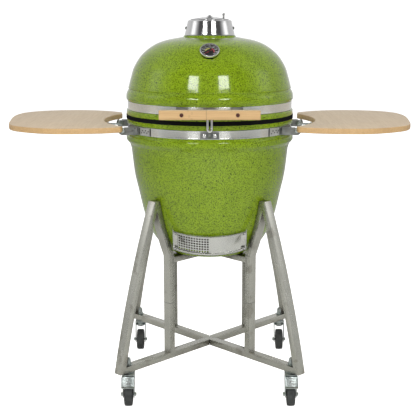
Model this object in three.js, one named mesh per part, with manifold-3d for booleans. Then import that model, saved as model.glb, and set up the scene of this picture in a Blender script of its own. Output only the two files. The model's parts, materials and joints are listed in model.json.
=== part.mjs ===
// Kamado grill: a glazed ceramic pot and hinged dome, held in a steel cart with four swivel
// casters, with two folding side shelves, a sliding draft door and a rotating top vent.
// Millimetres. +Z is up, the origin is on the floor under the pot's axis, and the front faces -Y.

import * as THREE from 'three';
import { mergeVertices } from 'three/addons/utils/BufferGeometryUtils.js';
import Module from 'manifold-3d';

const wasm = await Module();
wasm.setup();

// ---------------------------------------------------------------- driving dimensions

const GAP = 0.3;                      // clearance between pieces that touch
const RUNNING_GAP = 0.25;             // radial clearance of a pin in its hole
const BIG_FACETS = 32;                // facets around the pot and dome
const SMALL_FACETS = 12;              // facets around pins, wheels and bolts

const SEAM_Z = 902.5;                 // where the lid meets the pot
const GASKET_HEIGHT = 4.4;
const RIM_RADIUS = 272;               // ceramic rim either side of the gaskets
const BULGE_RADIUS = 274;             // thickened ring behind each band
const WALL = 25;                      // ceramic wall
const GASKET_INNER = RIM_RADIUS - WALL + 2;

const BAND_RADIUS = 268.4;            // outside of both steel bands
const BAND_THICKNESS = 1.5;
const BAND_HEIGHT = 26;
const LOWER_BAND_Z = 854.4;           // lower edge of the pot's band
const UPPER_BAND_Z = 926;             // lower edge of the lid's band
const BAND_SEAT = BAND_RADIUS - BAND_THICKNESS - GAP;
const PAD_SEAT = BAND_RADIUS + GAP;   // inside of every bracket that sits on a band
const PAD_INSET = 1;                  // how far a bracket's pad stays inside its band's edges
const PAD_SHEET = 3;                  // pads of the handle's and latch's brackets

const POT_BOTTOM_Z = 455.3;
const POT_FLOOR_Z = 480;
const NECK_TOP_Z = 1160;
const NECK_RADIUS = 84;
const NECK_BORE = 58;

const TUBE_WIDTH = 30;                // cart tube, across the frame's plane
const TUBE_DEPTH = 20;                // cart tube, in the frame's plane
const BAR_Z = 111;                    // underside of the bottom bars, the caster height
const BAR_TOP_Z = BAR_Z + TUBE_DEPTH;
const FOOT_REACH = 402;               // leg centreline at the foot, along the diagonal
const LEG_TOP_REACH = 249;
const LEG_TOP_Z = 648;
const LEG_BOW = { reach: 348.5, z: 380 };    // the point each leg bows towards
const STRUT_BOW = { reach: 229, z: 560 };    // the point each inner strut bows towards
const UPRIGHT_REACH = 188;
const UPRIGHT_TOP_Z = 460;
const CRADLE_TOP_Z = 455;
const CASTER_REACH = 366;             // caster stem, along the diagonal
const LEG_ANGLES = { front_left: 225, front_right: -45, rear_left: 135, rear_right: 45 };

const WHEEL_RADIUS = 37.5;
const WHEEL_WIDTH = 26;
const WHEEL_HUB_HALF = 14;
const CASTER_TRAIL = 14;              // how far each wheel's axle stands in front of its stem
const FORK_HALF_WIDTH = 18.5;
const FORK_SHEET = 2;
const FORK_TOP_Z = 107.5;
const FORK_CROWN = 4.5;               // thickness of the fork's top with its bearing
const FORK_BACK_Y = 18;
const STEM_RADIUS = 6;
const PEDAL_PIVOT = { y: -24, z: 96, radius: 2.5 };
const PEDAL_HALF_WIDTH = 20.5;

const HANDLE_FRONT_Y = -330;
const HANDLE_DEPTH = 26;
const HANDLE_LENGTH = 300;
const HANDLE_BOTTOM_Z = 920;
const HANDLE_HEIGHT = 29;
const HANDLE_BOLT_X = 83;
const HANDLE_BOLT_RADIUS = 3;

const HINGE_Y = 318;                  // lid hinge axis, parallel to X
const HINGE_Z = 903;
const KNUCKLE_RADIUS = 12;
const HINGE_PIN_RADIUS = 5;
const HINGE_PIN_HALF = 50;

const LATCH_Y = -286;                 // latch bail's pivot
const LATCH_Z = 936;
const LATCH_DROP = 56;
const LATCH_HALF_WIDTH = 6.2;
const LATCH_WIRE = 4;

const SHELF_SPLAY = 7;                // degrees each shelf turns towards the front
const SHELF_TOP_Z = 890;
const SHELF_THICKNESS = 18;
const SHELF_NOTCH = 345;              // notch radius about the pot's axis
const SHELF_FRONT_TIP = 184;          // how far forward the notch reaches
const SHELF_REAR_TIP = 201;           // how far to the rear the notch reaches
const SHELF_PIVOT_REACH = 290;
const SHELF_PIVOT_Z = 868;
const SHELF_PIN_RADIUS = 3.5;
const BRACKET_OFFSET = 120;           // bracket's distance either side of the pot's axis
const BRACKET_SHEET = 4;              // shelf and hinge brackets
const ARM_END = 416;                  // outer end of the arms under the board

const DRAFT_TILT = 23;                // degrees the draft frame's axis leans forward
const DRAFT_RADIUS = 215;             // inside of the bent draft frame
const DRAFT_FRONT_Y = -195;
const DRAFT_MID_Z = 508;
const DRAFT_HALF_HEIGHT = 37;
const DRAFT_HALF_ANGLE = 33;
const SLIDER_ANGLE = 27;              // degrees that each draft slider spans
const DRAFT_SHEET = 1.2;

const DIAL_REACH = 204.6;             // thermometer's centre, out from the axis
const DIAL_Z = 1113;
const DIAL_ELEVATION = 50;            // degrees its face looks upward
const DIAL_RADIUS = 30;
const NEEDLE_COLD_ANGLE = 125;        // degrees the cold needle stands left of straight up

const VENT_TOP_Z = 1208.5;
const VENT_TOP_RADIUS = 66;
const VENT_SLOPE = 0.137;             // rise of the vent's conical top for each mm inward
const VENT_WINDOWS = 6;
const VENT_DISC_RADIUS = 62;
const VENT_KNOB_X = 45;

const FIREBOX_TOP_Z = 700;
const CHARCOAL_GRATE_Z = 566;
const FIRE_RING_TOP_Z = 858;
const GRATE_RADIUS = 231;

// ---------------------------------------------------------------- materials

function finish(color, roughness, metalness) {
  return new THREE.MeshStandardMaterial({ color, roughness, metalness });
}

const glaze = finish(0x7f9c22, 0.12, 0);
const fireclay = finish(0xc9b79a, 0.9, 0);
const gasketFelt = finish(0x17170f, 0.95, 0);
const bandSteel = finish(0xc4c6c4, 0.3, 1);
const ventSteel = finish(0xd0d1d2, 0.15, 1);
const cartSteel = finish(0x9c9d93, 0.4, 1);
const zinc = finish(0xa9b0ad, 0.35, 1);
const darkSteel = finish(0x5c5f5c, 0.45, 1);
const brightSteel = finish(0xd8d8d6, 0.2, 1);
const tyreRubber = finish(0x3b3d3c, 0.7, 0);
const bamboo = finish(0xd9b582, 0.5, 0);
const castIron = finish(0x2b2a29, 0.75, 0.6);
const dialBlack = finish(0x151515, 0.5, 0);
const needleWhite = finish(0xe8e8e4, 0.5, 0);
const lensGlass = finish(0xf4f7f8, 0.05, 0);

// ---------------------------------------------------------------- solid helpers

const degrees = THREE.MathUtils.degToRad;

function point(x, y) {
  return new THREE.Vector2(x, y);
}

function signedVolume(positions, corners) {
  const a = new THREE.Vector3();
  const b = new THREE.Vector3();
  const c = new THREE.Vector3();
  let volume = 0;
  for (let i = 0; i < corners.length; i += 3) {
    a.fromArray(positions, corners[i] * 3);
    b.fromArray(positions, corners[i + 1] * 3);
    c.fromArray(positions, corners[i + 2] * 3);
    volume += a.dot(b.cross(c)) / 6;
  }
  return volume;
}

// Turns a closed geometry into a solid: shared corners merged, collapsed triangles dropped,
// and every face turned outward.
function solidOf(geometry) {
  const loose = new THREE.BufferGeometry();
  const source = geometry.index ? geometry.toNonIndexed() : geometry;
  loose.setAttribute('position', source.getAttribute('position'));
  const merged = mergeVertices(loose, 1e-3);
  const positions = new Float32Array(merged.getAttribute('position').array);
  const corners = [];
  for (let i = 0; i < merged.index.count; i += 3) {
    const [a, b, c] = merged.index.array.slice(i, i + 3);
    if (a !== b && b !== c && c !== a) corners.push(a, b, c);
  }
  if (signedVolume(positions, corners) < 0) {
    for (let i = 0; i < corners.length; i += 3) {
      [corners[i + 1], corners[i + 2]] = [corners[i + 2], corners[i + 1]];
    }
  }
  const mesh = new wasm.Mesh({
    numProp: 3,
    vertProperties: positions,
    triVerts: new Uint32Array(corners),
  });
  return new wasm.Manifold(mesh);
}

function join(...solids) {
  return solids.reduce((sum, solid) => sum.add(solid));
}

function cut(solid, ...tools) {
  return tools.reduce((left, tool) => left.subtract(tool), solid);
}

function node(group, name, solid, material) {
  const { vertProperties, triVerts } = solid.getMesh();
  const geometry = new THREE.BufferGeometry();
  geometry.setAttribute('position', new THREE.BufferAttribute(new Float32Array(vertProperties), 3));
  geometry.setIndex(new THREE.BufferAttribute(new Uint32Array(triVerts), 1));
  geometry.computeVertexNormals();
  const mesh = new THREE.Mesh(geometry, material);
  mesh.name = name;
  group.add(mesh);
  return mesh;
}

function box(x0, x1, y0, y1, z0, z1) {
  const geometry = new THREE.BoxGeometry(x1 - x0, y1 - y0, z1 - z0);
  geometry.translate((x0 + x1) / 2, (y0 + y1) / 2, (z0 + z1) / 2);
  return geometry;
}

function rod(from, to, radius, facets = SMALL_FACETS) {
  const start = new THREE.Vector3(...from);
  const along = new THREE.Vector3(...to).sub(start);
  const geometry = new THREE.CylinderGeometry(radius, radius, along.length(), facets);
  geometry.translate(0, along.length() / 2, 0);
  const up = new THREE.Vector3(0, 1, 0);
  geometry.applyQuaternion(new THREE.Quaternion().setFromUnitVectors(up, along.normalize()));
  geometry.translate(start.x, start.y, start.z);
  return geometry;
}

// A profile of (radius, height) points turned about Z.
function turned(profile, facets = BIG_FACETS) {
  const geometry = new THREE.LatheGeometry(profile, facets);
  geometry.rotateX(Math.PI / 2);
  return geometry;
}

// A shape in the XY plane, raised from z0 to z1.
function raised(shape, z0, z1, curveSegments = 8) {
  const settings = { depth: z1 - z0, bevelEnabled: false, curveSegments };
  const geometry = new THREE.ExtrudeGeometry(shape, settings);
  geometry.translate(0, 0, z0);
  return geometry;
}

// A shape drawn in the XZ plane, running from y0 to y1.
function sheetAlongY(shape, y0, y1, curveSegments = 8) {
  const geometry = raised(shape, 0, y1 - y0, curveSegments);
  geometry.rotateX(Math.PI / 2);
  geometry.translate(0, y1, 0);
  return geometry;
}

// A shape drawn in the YZ plane, running from x0 to x1.
function sheetAlongX(shape, x0, x1, curveSegments = 8) {
  const geometry = raised(shape, x0, x1, curveSegments);
  const turn = new THREE.Matrix4().set(0, 0, 1, 0, 1, 0, 0, 0, 0, 1, 0, 0, 0, 0, 0, 1);
  geometry.applyMatrix4(turn);
  return geometry;
}

function polygon(...corners) {
  return new THREE.Shape(corners.map(([x, y]) => point(x, y)));
}

// Part of a ring about Z between two angles, measured from +X in degrees.
function ringSector(inner, outer, fromAngle, toAngle, z0, z1, facets = 8) {
  const shape = new THREE.Shape();
  shape.absarc(0, 0, outer, degrees(fromAngle), degrees(toAngle), false);
  shape.absarc(0, 0, inner, degrees(toAngle), degrees(fromAngle), true);
  return raised(shape, z0, z1, facets);
}

// Everything inside the seat of the brackets on a band, used to fit their pads to it.
function bandCore(bandZ) {
  const spare = 5;
  const [z0, z1] = [bandZ - spare, bandZ + BAND_HEIGHT + spare];
  return solidOf(rod([0, 0, z0], [0, 0, z1], PAD_SEAT, BIG_FACETS * 2));
}

// ---------------------------------------------------------------- ceramic pot and dome

function potOuterProfile() {
  const side = new THREE.SplineCurve([
    point(258, 797), point(249, 716), point(236, 655), point(217, 573), point(195, 518), point(163, 470),
  ]);
  const bandSeatTop = LOWER_BAND_Z + BAND_HEIGHT + GAP;
  const bandSeatBottom = LOWER_BAND_Z - GAP;
  return [
    point(0, POT_BOTTOM_Z),
    point(138, POT_BOTTOM_Z),
    ...side.getPoints(7).reverse(),
    point(263, 814),
    point(BULGE_RADIUS, 827),
    point(BULGE_RADIUS, bandSeatBottom - 2),
    point(BAND_SEAT, bandSeatBottom),
    point(BAND_SEAT, bandSeatTop),
    point(RIM_RADIUS, bandSeatTop + 2),
    point(RIM_RADIUS, SEAM_Z - GASKET_HEIGHT),
  ];
}

function potInnerProfile() {
  const rimInner = RIM_RADIUS - WALL;
  const side = new THREE.SplineCurve([
    point(rimInner, 830), point(232, 765), point(211, 655), point(191, 573), point(164, 514), point(140, 486),
  ]);
  return [
    point(rimInner, SEAM_Z - GASKET_HEIGHT),
    ...side.getPoints(5),
    point(132, POT_FLOOR_Z),
    point(0, POT_FLOOR_Z),
  ];
}

function domeOuterProfile() {
  const crown = new THREE.SplineCurve([
    point(265.5, 993), point(257, 1025), point(245, 1061), point(219.6, 1099), point(183, 1128),
    point(145, 1143.6), point(98, 1153),
  ]);
  const bandSeatTop = UPPER_BAND_Z + BAND_HEIGHT + GAP;
  return [
    point(RIM_RADIUS, SEAM_Z + GASKET_HEIGHT),
    point(RIM_RADIUS, UPPER_BAND_Z - GAP - 2),
    point(BAND_SEAT, UPPER_BAND_Z - GAP),
    point(BAND_SEAT, bandSeatTop),
    point(BULGE_RADIUS - 1.3, bandSeatTop + 8),
    point(BULGE_RADIUS - 1.3, 984),
    ...crown.getPoints(8),
    point(NECK_RADIUS + 2, 1155.5),
    point(NECK_RADIUS, NECK_TOP_Z),
  ];
}

function domeInnerProfile() {
  const rimInner = RIM_RADIUS - WALL;
  const crown = new THREE.SplineCurve([
    point(NECK_BORE + 12, 1131), point(120, 1124), point(178, 1099), point(220, 1052), point(242, 985),
  ]);
  return [
    point(NECK_BORE, NECK_TOP_Z),
    point(NECK_BORE, 1133),
    ...crown.getPoints(4),
    point(rimInner, SEAM_Z + GASKET_HEIGHT),
  ];
}

function buildCeramics(group) {
  const opening = { halfWidth: 92, halfHeight: 21, front: -DRAFT_RADIUS - 40, back: -DRAFT_RADIUS + 90 };
  const draftOpening = box(
    -opening.halfWidth, opening.halfWidth, opening.front, opening.back,
    -opening.halfHeight, opening.halfHeight,
  );
  draftOpening.applyMatrix4(draftFrameMatrix());
  const pot = cut(solidOf(turned([...potOuterProfile(), ...potInnerProfile()])), solidOf(draftOpening));
  node(group, 'base_pot', pot, glaze);

  const domeRing = [...domeOuterProfile(), ...domeInnerProfile()];
  domeRing.push(domeRing[0].clone());
  const probeHoleRadius = 4.5;
  const probeHole = rod(dialPoint(-WALL * 2).toArray(), dialPoint(WALL).toArray(), probeHoleRadius);
  node(group, 'lid_dome', cut(solidOf(turned(domeRing)), solidOf(probeHole)), glaze);
}

function squareRing(inner, outer, z0, z1) {
  return turned([point(inner, z0), point(outer, z0), point(outer, z1), point(inner, z1), point(inner, z0)]);
}

function buildGasketsAndBands(group) {
  const meetingGap = 0.1;
  const sealOuter = RIM_RADIUS - 0.4;
  const lowerSeal = squareRing(GASKET_INNER, sealOuter, SEAM_Z - GASKET_HEIGHT, SEAM_Z - meetingGap);
  const upperSeal = squareRing(GASKET_INNER, sealOuter, SEAM_Z + meetingGap, SEAM_Z + GASKET_HEIGHT);
  node(group, 'pot_gasket', solidOf(lowerSeal), gasketFelt);
  node(group, 'lid_gasket', solidOf(upperSeal), gasketFelt);
  const inner = BAND_RADIUS - BAND_THICKNESS;
  const lower = squareRing(inner, BAND_RADIUS, LOWER_BAND_Z, LOWER_BAND_Z + BAND_HEIGHT);
  const upper = squareRing(inner, BAND_RADIUS, UPPER_BAND_Z, UPPER_BAND_Z + BAND_HEIGHT);
  node(group, 'pot_band', solidOf(lower), bandSteel);
  node(group, 'lid_band', solidOf(upper), bandSteel);
}

// ---------------------------------------------------------------- firebox, ring and grates

function buildInternals(group) {
  const firebox = turned([
    point(60, 484), point(118, 484), point(134, 497), point(158, 524), point(180, 580),
    point(204, FIREBOX_TOP_Z),
    point(184, FIREBOX_TOP_Z), point(164, 600), point(161, CHARCOAL_GRATE_Z), point(140, CHARCOAL_GRATE_Z),
    point(112, 504), point(60, 504), point(60, 484),
  ], 24);
  const port = { halfWidth: 55, front: -200, back: -90, bottom: 508, top: 545 };
  const draftPort = box(-port.halfWidth, port.halfWidth, port.front, port.back, port.bottom, port.top);
  node(group, 'firebox', cut(solidOf(firebox), solidOf(draftPort)), fireclay);

  const ringBottom = FIREBOX_TOP_Z + GAP;
  const fireRing = turned([
    point(186, ringBottom), point(205, ringBottom), point(219, 765), point(236, FIRE_RING_TOP_Z),
    point(216, FIRE_RING_TOP_Z), point(200, 765), point(186, ringBottom),
  ], 24);
  node(group, 'fire_ring', solidOf(fireRing), fireclay);

  const charcoalRadius = 158;
  const grateDisc = rod([0, 0, CHARCOAL_GRATE_Z + GAP], [0, 0, CHARCOAL_GRATE_Z + 8], charcoalRadius, 24);
  const slots = [];
  const slotPitch = 36;
  const slotHalf = 6;
  for (let x = -3 * slotPitch; x <= 3 * slotPitch; x += slotPitch) {
    const reach = Math.sqrt((charcoalRadius - 18) ** 2 - x ** 2);
    slots.push(solidOf(box(
      x - slotHalf, x + slotHalf, -reach, reach, CHARCOAL_GRATE_Z - 5, CHARCOAL_GRATE_Z + 15,
    )));
  }
  node(group, 'charcoal_grate', cut(solidOf(grateDisc), ...slots), castIron);
  buildCookingGrate(group);
}

function buildCookingGrate(group) {
  const rim = 6;
  const barPitch = 60;
  const barHalf = 2.5;
  const crossHalf = 4;
  const bottom = FIRE_RING_TOP_Z + GAP;
  const barTop = bottom + 7;
  const middle = GRATE_RADIUS - rim / 2;
  let grate = solidOf(squareRing(GRATE_RADIUS - rim, GRATE_RADIUS, bottom, barTop));
  for (let x = -3 * barPitch; x <= 3 * barPitch; x += barPitch) {
    const reach = Math.sqrt(middle ** 2 - x ** 2);
    grate = grate.add(solidOf(box(x - barHalf, x + barHalf, -reach, reach, bottom + 2, barTop)));
  }
  grate = grate.add(solidOf(box(-middle, middle, -crossHalf, crossHalf, bottom, bottom + 4)));
  node(group, 'cooking_grate', grate, castIron);
}

// ---------------------------------------------------------------- cart

// The outline of a tube bent along a curve, seen square to the bend.
function bentTube(curve, steps) {
  const inner = [];
  const outer = [];
  for (let i = 0; i <= steps; i += 1) {
    const at = curve.getPoint(i / steps);
    const along = curve.getTangent(i / steps);
    const across = point(along.y, -along.x).multiplyScalar(TUBE_DEPTH / 2);
    outer.push(at.clone().add(across));
    inner.unshift(at.clone().sub(across));
  }
  return new THREE.Shape([...outer, ...inner]);
}

// The outer leg, which runs a little past both of its ends so that they can be trimmed level.
function legShape() {
  const spare = 10;
  return bentTube(new THREE.QuadraticBezierCurve(
    point(FOOT_REACH + spare / 5, BAR_Z - spare),
    point(LEG_BOW.reach, LEG_BOW.z),
    point(LEG_TOP_REACH - spare * 0.4, LEG_TOP_Z + spare),
  ), 8);
}

// The strut between an upright and its leg, following the pot's flank at a small distance.
function strutShape() {
  return bentTube(new THREE.QuadraticBezierCurve(
    point(UPRIGHT_REACH, UPRIGHT_TOP_Z),
    point(STRUT_BOW.reach, STRUT_BOW.z),
    point(LEG_TOP_REACH - 2, LEG_TOP_Z),
  ), 6);
}

function buildLegFrame(name) {
  const frame = new THREE.Group();
  frame.rotation.z = degrees(LEG_ANGLES[name]);
  const half = TUBE_WIDTH / 2;
  const [barStart, barEnd] = [half + GAP, FOOT_REACH - 6];
  const barShape = polygon([GAP, 0], [barStart, -half], [barEnd, -half], [barEnd, half], [barStart, half]);
  const upright = box(
    UPRIGHT_REACH - TUBE_DEPTH / 2, UPRIGHT_REACH + TUBE_DEPTH / 2, -half, half,
    BAR_TOP_Z - 1, UPRIGHT_TOP_Z + 1,
  );
  const whole = join(
    solidOf(sheetAlongY(legShape(), -half, half)),
    solidOf(sheetAlongY(strutShape(), -half, half)),
    solidOf(upright),
    solidOf(raised(barShape, BAR_Z, BAR_TOP_Z)),
  );
  const trim = 40;
  const overTop = box(LEG_TOP_REACH - trim, LEG_TOP_REACH + trim, -trim, trim, LEG_TOP_Z, LEG_TOP_Z + trim);
  const underFoot = box(FOOT_REACH - trim, FOOT_REACH + trim, -trim, trim, BAR_Z - trim, BAR_Z);
  const stemHole = rod([CASTER_REACH, 0, BAR_Z - 1], [CASTER_REACH, 0, BAR_TOP_Z + 1], STEM_RADIUS + GAP);
  const trimmed = cut(whole, solidOf(overTop), solidOf(underFoot), solidOf(stemHole));
  node(frame, `leg_frame_${name}`, trimmed, cartSteel);
  return frame;
}

function buildCradle() {
  const cradle = new THREE.Group();
  cradle.rotation.z = degrees(45);
  const reach = UPRIGHT_REACH - TUBE_DEPTH / 2 - GAP;
  const half = TUBE_WIDTH / 2;
  const bottom = CRADLE_TOP_Z - TUBE_DEPTH;
  const bars = join(
    solidOf(box(-reach, reach, -half, half, bottom, CRADLE_TOP_Z)),
    solidOf(box(-half, half, -reach, reach, bottom, CRADLE_TOP_Z)),
  );
  node(cradle, 'pot_cradle', bars, cartSteel);
  return cradle;
}

// ---------------------------------------------------------------- casters

// A fork with a pedal reaches further forward, to carry the pedal's pivot.
function forkFrontY(hasPedal) {
  return hasPedal ? -30 : -18;
}

function forkCheekShape(hasPedal) {
  const front = forkFrontY(hasPedal);
  const axleBoss = 12;
  const shape = new THREE.Shape();
  shape.moveTo(FORK_BACK_Y, FORK_TOP_Z);
  shape.lineTo(FORK_BACK_Y, FORK_TOP_Z - 13.5);
  shape.absarc(-CASTER_TRAIL, WHEEL_RADIUS, axleBoss, degrees(-25), degrees(-165), true);
  shape.lineTo(front, FORK_TOP_Z - 19.5);
  shape.lineTo(front, FORK_TOP_Z);
  return shape;
}

function buildFork(hasPedal) {
  const outer = FORK_HALF_WIDTH;
  const inner = outer - FORK_SHEET;
  const crownZ = FORK_TOP_Z - FORK_CROWN;
  const axleAt = (x) => [x, -CASTER_TRAIL, WHEEL_RADIUS];
  const axleRadius = 4;
  const headRadius = 6.5;
  const headEnd = outer + 6;
  const parts = [
    box(-outer, outer, forkFrontY(hasPedal), FORK_BACK_Y, crownZ, FORK_TOP_Z),
    sheetAlongX(forkCheekShape(hasPedal), inner, outer, 3),
    sheetAlongX(forkCheekShape(hasPedal), -outer, -inner, 3),
    rod(axleAt(-outer - 1), axleAt(outer + 1), axleRadius),
    rod(axleAt(outer - 0.5), axleAt(headEnd), headRadius, 6),
    rod(axleAt(-headEnd), axleAt(-outer + 0.5), headRadius, 6),
  ];
  if (hasPedal) {
    const stubAt = (x) => [x, PEDAL_PIVOT.y, PEDAL_PIVOT.z];
    parts.push(rod(stubAt(outer - 1), stubAt(outer + 3), PEDAL_PIVOT.radius));
    parts.push(rod(stubAt(-outer - 3), stubAt(-outer + 1), PEDAL_PIVOT.radius));
  }
  const stemHole = rod([0, 0, crownZ - 3], [0, 0, FORK_TOP_Z + 3], STEM_RADIUS + GAP);
  return cut(join(...parts.map(solidOf)), solidOf(stemHole));
}

function buildWheel() {
  const half = WHEEL_WIDTH / 2;
  const bore = 4.4;
  const hubRadius = 11;
  const rimRadius = 26;
  const shoulder = 3.5;
  const profile = [
    point(bore, -WHEEL_HUB_HALF), point(hubRadius, -WHEEL_HUB_HALF), point(rimRadius, -half),
    point(WHEEL_RADIUS - shoulder, -half), point(WHEEL_RADIUS, -half + shoulder),
    point(WHEEL_RADIUS, half - shoulder), point(WHEEL_RADIUS - shoulder, half),
    point(rimRadius, half), point(hubRadius, WHEEL_HUB_HALF), point(bore, WHEEL_HUB_HALF),
    point(bore, -WHEEL_HUB_HALF),
  ];
  const wheel = turned(profile, 16);
  wheel.rotateY(Math.PI / 2);
  wheel.translate(0, -CASTER_TRAIL, WHEEL_RADIUS);
  return solidOf(wheel);
}

// The stem, its collar under the fork's crown, its washer under the bar and its domed nut on top.
function buildStem() {
  const collarRadius = 9;
  const washerRadius = 17;
  const nutRadius = 7.5;
  const crownZ = FORK_TOP_Z - FORK_CROWN - GAP;
  const washerZ = FORK_TOP_Z + GAP;
  const profile = [
    point(0, 97), point(collarRadius, 97), point(collarRadius, crownZ), point(STEM_RADIUS, crownZ),
    point(STEM_RADIUS, washerZ), point(washerRadius, washerZ), point(washerRadius, BAR_Z - GAP),
    point(STEM_RADIUS, BAR_Z - GAP), point(STEM_RADIUS, BAR_TOP_Z + 2), point(nutRadius, BAR_TOP_Z + 8),
    point(nutRadius, BAR_TOP_Z + 17), point(5, BAR_TOP_Z + 23), point(0, BAR_TOP_Z + 26),
  ];
  const nut = rod([0, 0, BAR_TOP_Z + GAP], [0, 0, BAR_TOP_Z + 10], 10, 6);
  return join(solidOf(turned(profile, SMALL_FACETS)), solidOf(nut));
}

// The brake pedal: a sloping plate over the front of the wheel with a toe lip, between two ears.
function buildPedal() {
  const { y, z, radius } = PEDAL_PIVOT;
  const half = PEDAL_HALF_WIDTH;
  const earInner = FORK_HALF_WIDTH + GAP;
  const plate = polygon(
    [y - 9.5, z + 8], [y - 12, z + 8], [y - 24, z - 20],
    [y - 29, z - 22.5], [y - 29, z - 25], [y - 21, z - 23],
  );
  const ear = polygon([y + 4, z + 5], [y + 4, z - 5], [y - 17, z - 12], [y - 11, z + 7]);
  const hole = rod([-half - 2, y, z], [half + 2, y, z], radius + RUNNING_GAP);
  const whole = join(
    solidOf(sheetAlongX(plate, -half, half)),
    solidOf(sheetAlongX(ear, earInner, half)),
    solidOf(sheetAlongX(ear, -half, -earInner)),
  );
  return cut(whole, solidOf(hole));
}

function buildCaster(name) {
  const caster = new THREE.Group();
  const isFront = name.startsWith('front');
  const angle = degrees(LEG_ANGLES[name]);
  caster.position.set(CASTER_REACH * Math.cos(angle), CASTER_REACH * Math.sin(angle), 0);
  node(caster, `caster_stem_${name}`, buildStem(), zinc);
  node(caster, `caster_fork_${name}`, buildFork(isFront), zinc);
  node(caster, `caster_wheel_${name}`, buildWheel(), tyreRubber);
  if (isFront) node(caster, `brake_pedal_${name}`, buildPedal(), zinc);
  return caster;
}

// ---------------------------------------------------------------- lid hinge

// A hinge cheek: from the pad on the band out to the knuckle, which is above or below the pad.
function hingeCheekShape(padZ0, padZ1) {
  const root = PAD_SEAT - 7;
  const throat = PAD_SEAT + 9;
  const side = padZ0 > HINGE_Z ? -1 : 1;
  const shape = new THREE.Shape();
  shape.moveTo(root, padZ0);
  shape.lineTo(throat, padZ0);
  shape.absarc(
    HINGE_Y, HINGE_Z, KNUCKLE_RADIUS, degrees(-90 + side * 30), degrees(90 + side * 30), false,
  );
  shape.lineTo(throat, padZ1);
  shape.lineTo(root, padZ1);
  return shape;
}

function hingeBracket({ bandZ, cheekInner, cheekOuter, padHalf }) {
  const z0 = bandZ + PAD_INSET;
  const z1 = bandZ + BAND_HEIGHT - PAD_INSET;
  const tilt = THREE.MathUtils.radToDeg(Math.asin(padHalf / BAND_RADIUS));
  const pad = ringSector(PAD_SEAT, PAD_SEAT + BRACKET_SHEET, 90 - tilt, 90 + tilt, z0, z1, 3);
  const cheek = hingeCheekShape(z0, z1);
  const hole = rod([-80, HINGE_Y, HINGE_Z], [80, HINGE_Y, HINGE_Z], HINGE_PIN_RADIUS + RUNNING_GAP);
  const bolts = [-0.75, 0.75].map((share) => radialBolt(90 - tilt * share, (z0 + z1) / 2));
  const whole = join(
    solidOf(pad),
    solidOf(sheetAlongX(cheek, cheekInner, cheekOuter, 4)),
    solidOf(sheetAlongX(cheek, -cheekOuter, -cheekInner, 4)),
    ...bolts.map(solidOf),
  );
  return cut(whole, bandCore(bandZ), solidOf(hole));
}

// A hexagon bolt head that stands out from a bracket's pad.
function radialBolt(angle, z) {
  const headRadius = 6;
  const at = (radius) => [radius * Math.cos(degrees(angle)), radius * Math.sin(degrees(angle)), z];
  return rod(at(PAD_SEAT + 3), at(PAD_SEAT + 9), headRadius, 6);
}

// A coil of wire about the hinge pin.
function hingeSpring(x0, x1) {
  const turns = 3;
  const coilRadius = 10;
  const wireRadius = 1.8;
  const steps = turns * 8;
  const path = [];
  for (let i = 0; i <= steps; i += 1) {
    const angle = (i / steps) * turns * 2 * Math.PI;
    const x = THREE.MathUtils.lerp(x0 + wireRadius, x1 - wireRadius, i / steps);
    const [out, up] = [coilRadius * Math.cos(angle), coilRadius * Math.sin(angle)];
    path.push(new THREE.Vector3(x, HINGE_Y + out, HINGE_Z + up));
  }
  const wire = new THREE.Shape();
  wire.absarc(0, 0, wireRadius, 0, 2 * Math.PI, false);
  const coil = new THREE.CatmullRomCurve3(path);
  const settings = { steps, extrudePath: coil, curveSegments: 3, bevelEnabled: false };
  return solidOf(new THREE.ExtrudeGeometry(wire, settings));
}

function buildLidHinge(group) {
  const lower = hingeBracket({ bandZ: LOWER_BAND_Z, cheekInner: 40, cheekOuter: 45, padHalf: 70 });
  const upper = hingeBracket({ bandZ: UPPER_BAND_Z, cheekInner: 32, cheekOuter: 37, padHalf: 60 });
  node(group, 'hinge_lower_bracket', lower, darkSteel);
  node(group, 'hinge_upper_bracket', upper, darkSteel);
  const headRadius = 8;
  const pinAt = (x) => [x, HINGE_Y, HINGE_Z];
  const pin = join(
    solidOf(rod(pinAt(-HINGE_PIN_HALF), pinAt(HINGE_PIN_HALF), HINGE_PIN_RADIUS)),
    solidOf(rod(pinAt(-HINGE_PIN_HALF - 4), pinAt(-HINGE_PIN_HALF + 4), headRadius, 6)),
    solidOf(rod(pinAt(HINGE_PIN_HALF - 4), pinAt(HINGE_PIN_HALF + 4), headRadius, 6)),
  );
  node(group, 'hinge_pin', pin, brightSteel);
  const [springOuter, springInner] = [30, 4];
  node(group, 'hinge_spring_left', hingeSpring(-springOuter, -springInner), brightSteel);
  node(group, 'hinge_spring_right', hingeSpring(springInner, springOuter), brightSteel);
}

// ---------------------------------------------------------------- handle and latch

function buildHandle(group) {
  const half = HANDLE_LENGTH / 2;
  const front = HANDLE_FRONT_Y;
  const back = front + HANDLE_DEPTH;
  const top = HANDLE_BOTTOM_Z + HANDLE_HEIGHT;
  const boltZ = (HANDLE_BOTTOM_Z + top) / 2;
  const ease = 4;
  const recessDepth = 6;
  const section = polygon(
    [back, HANDLE_BOTTOM_Z + ease], [back, top - ease], [back - ease, top], [front + ease, top],
    [front, top - ease], [front, HANDLE_BOTTOM_Z + ease], [front + ease, HANDLE_BOTTOM_Z],
    [back - ease, HANDLE_BOTTOM_Z],
  );
  let bar = solidOf(sheetAlongX(section, -half, half));
  for (const side of [-1, 1]) {
    const at = (y) => [side * HANDLE_BOLT_X, y, boltZ];
    const recess = rod(at(front - 1), at(front + recessDepth), HANDLE_BOLT_RADIUS * 2);
    const shankHole = rod(at(front), at(back + 1), HANDLE_BOLT_RADIUS + 0.4);
    bar = cut(bar, solidOf(recess), solidOf(shankHole));
    node(group, `handle_bracket_${side < 0 ? 'left' : 'right'}`, handleBracket(side, boltZ), darkSteel);
  }
  node(group, 'handle_bar', bar, bamboo);
}

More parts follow.
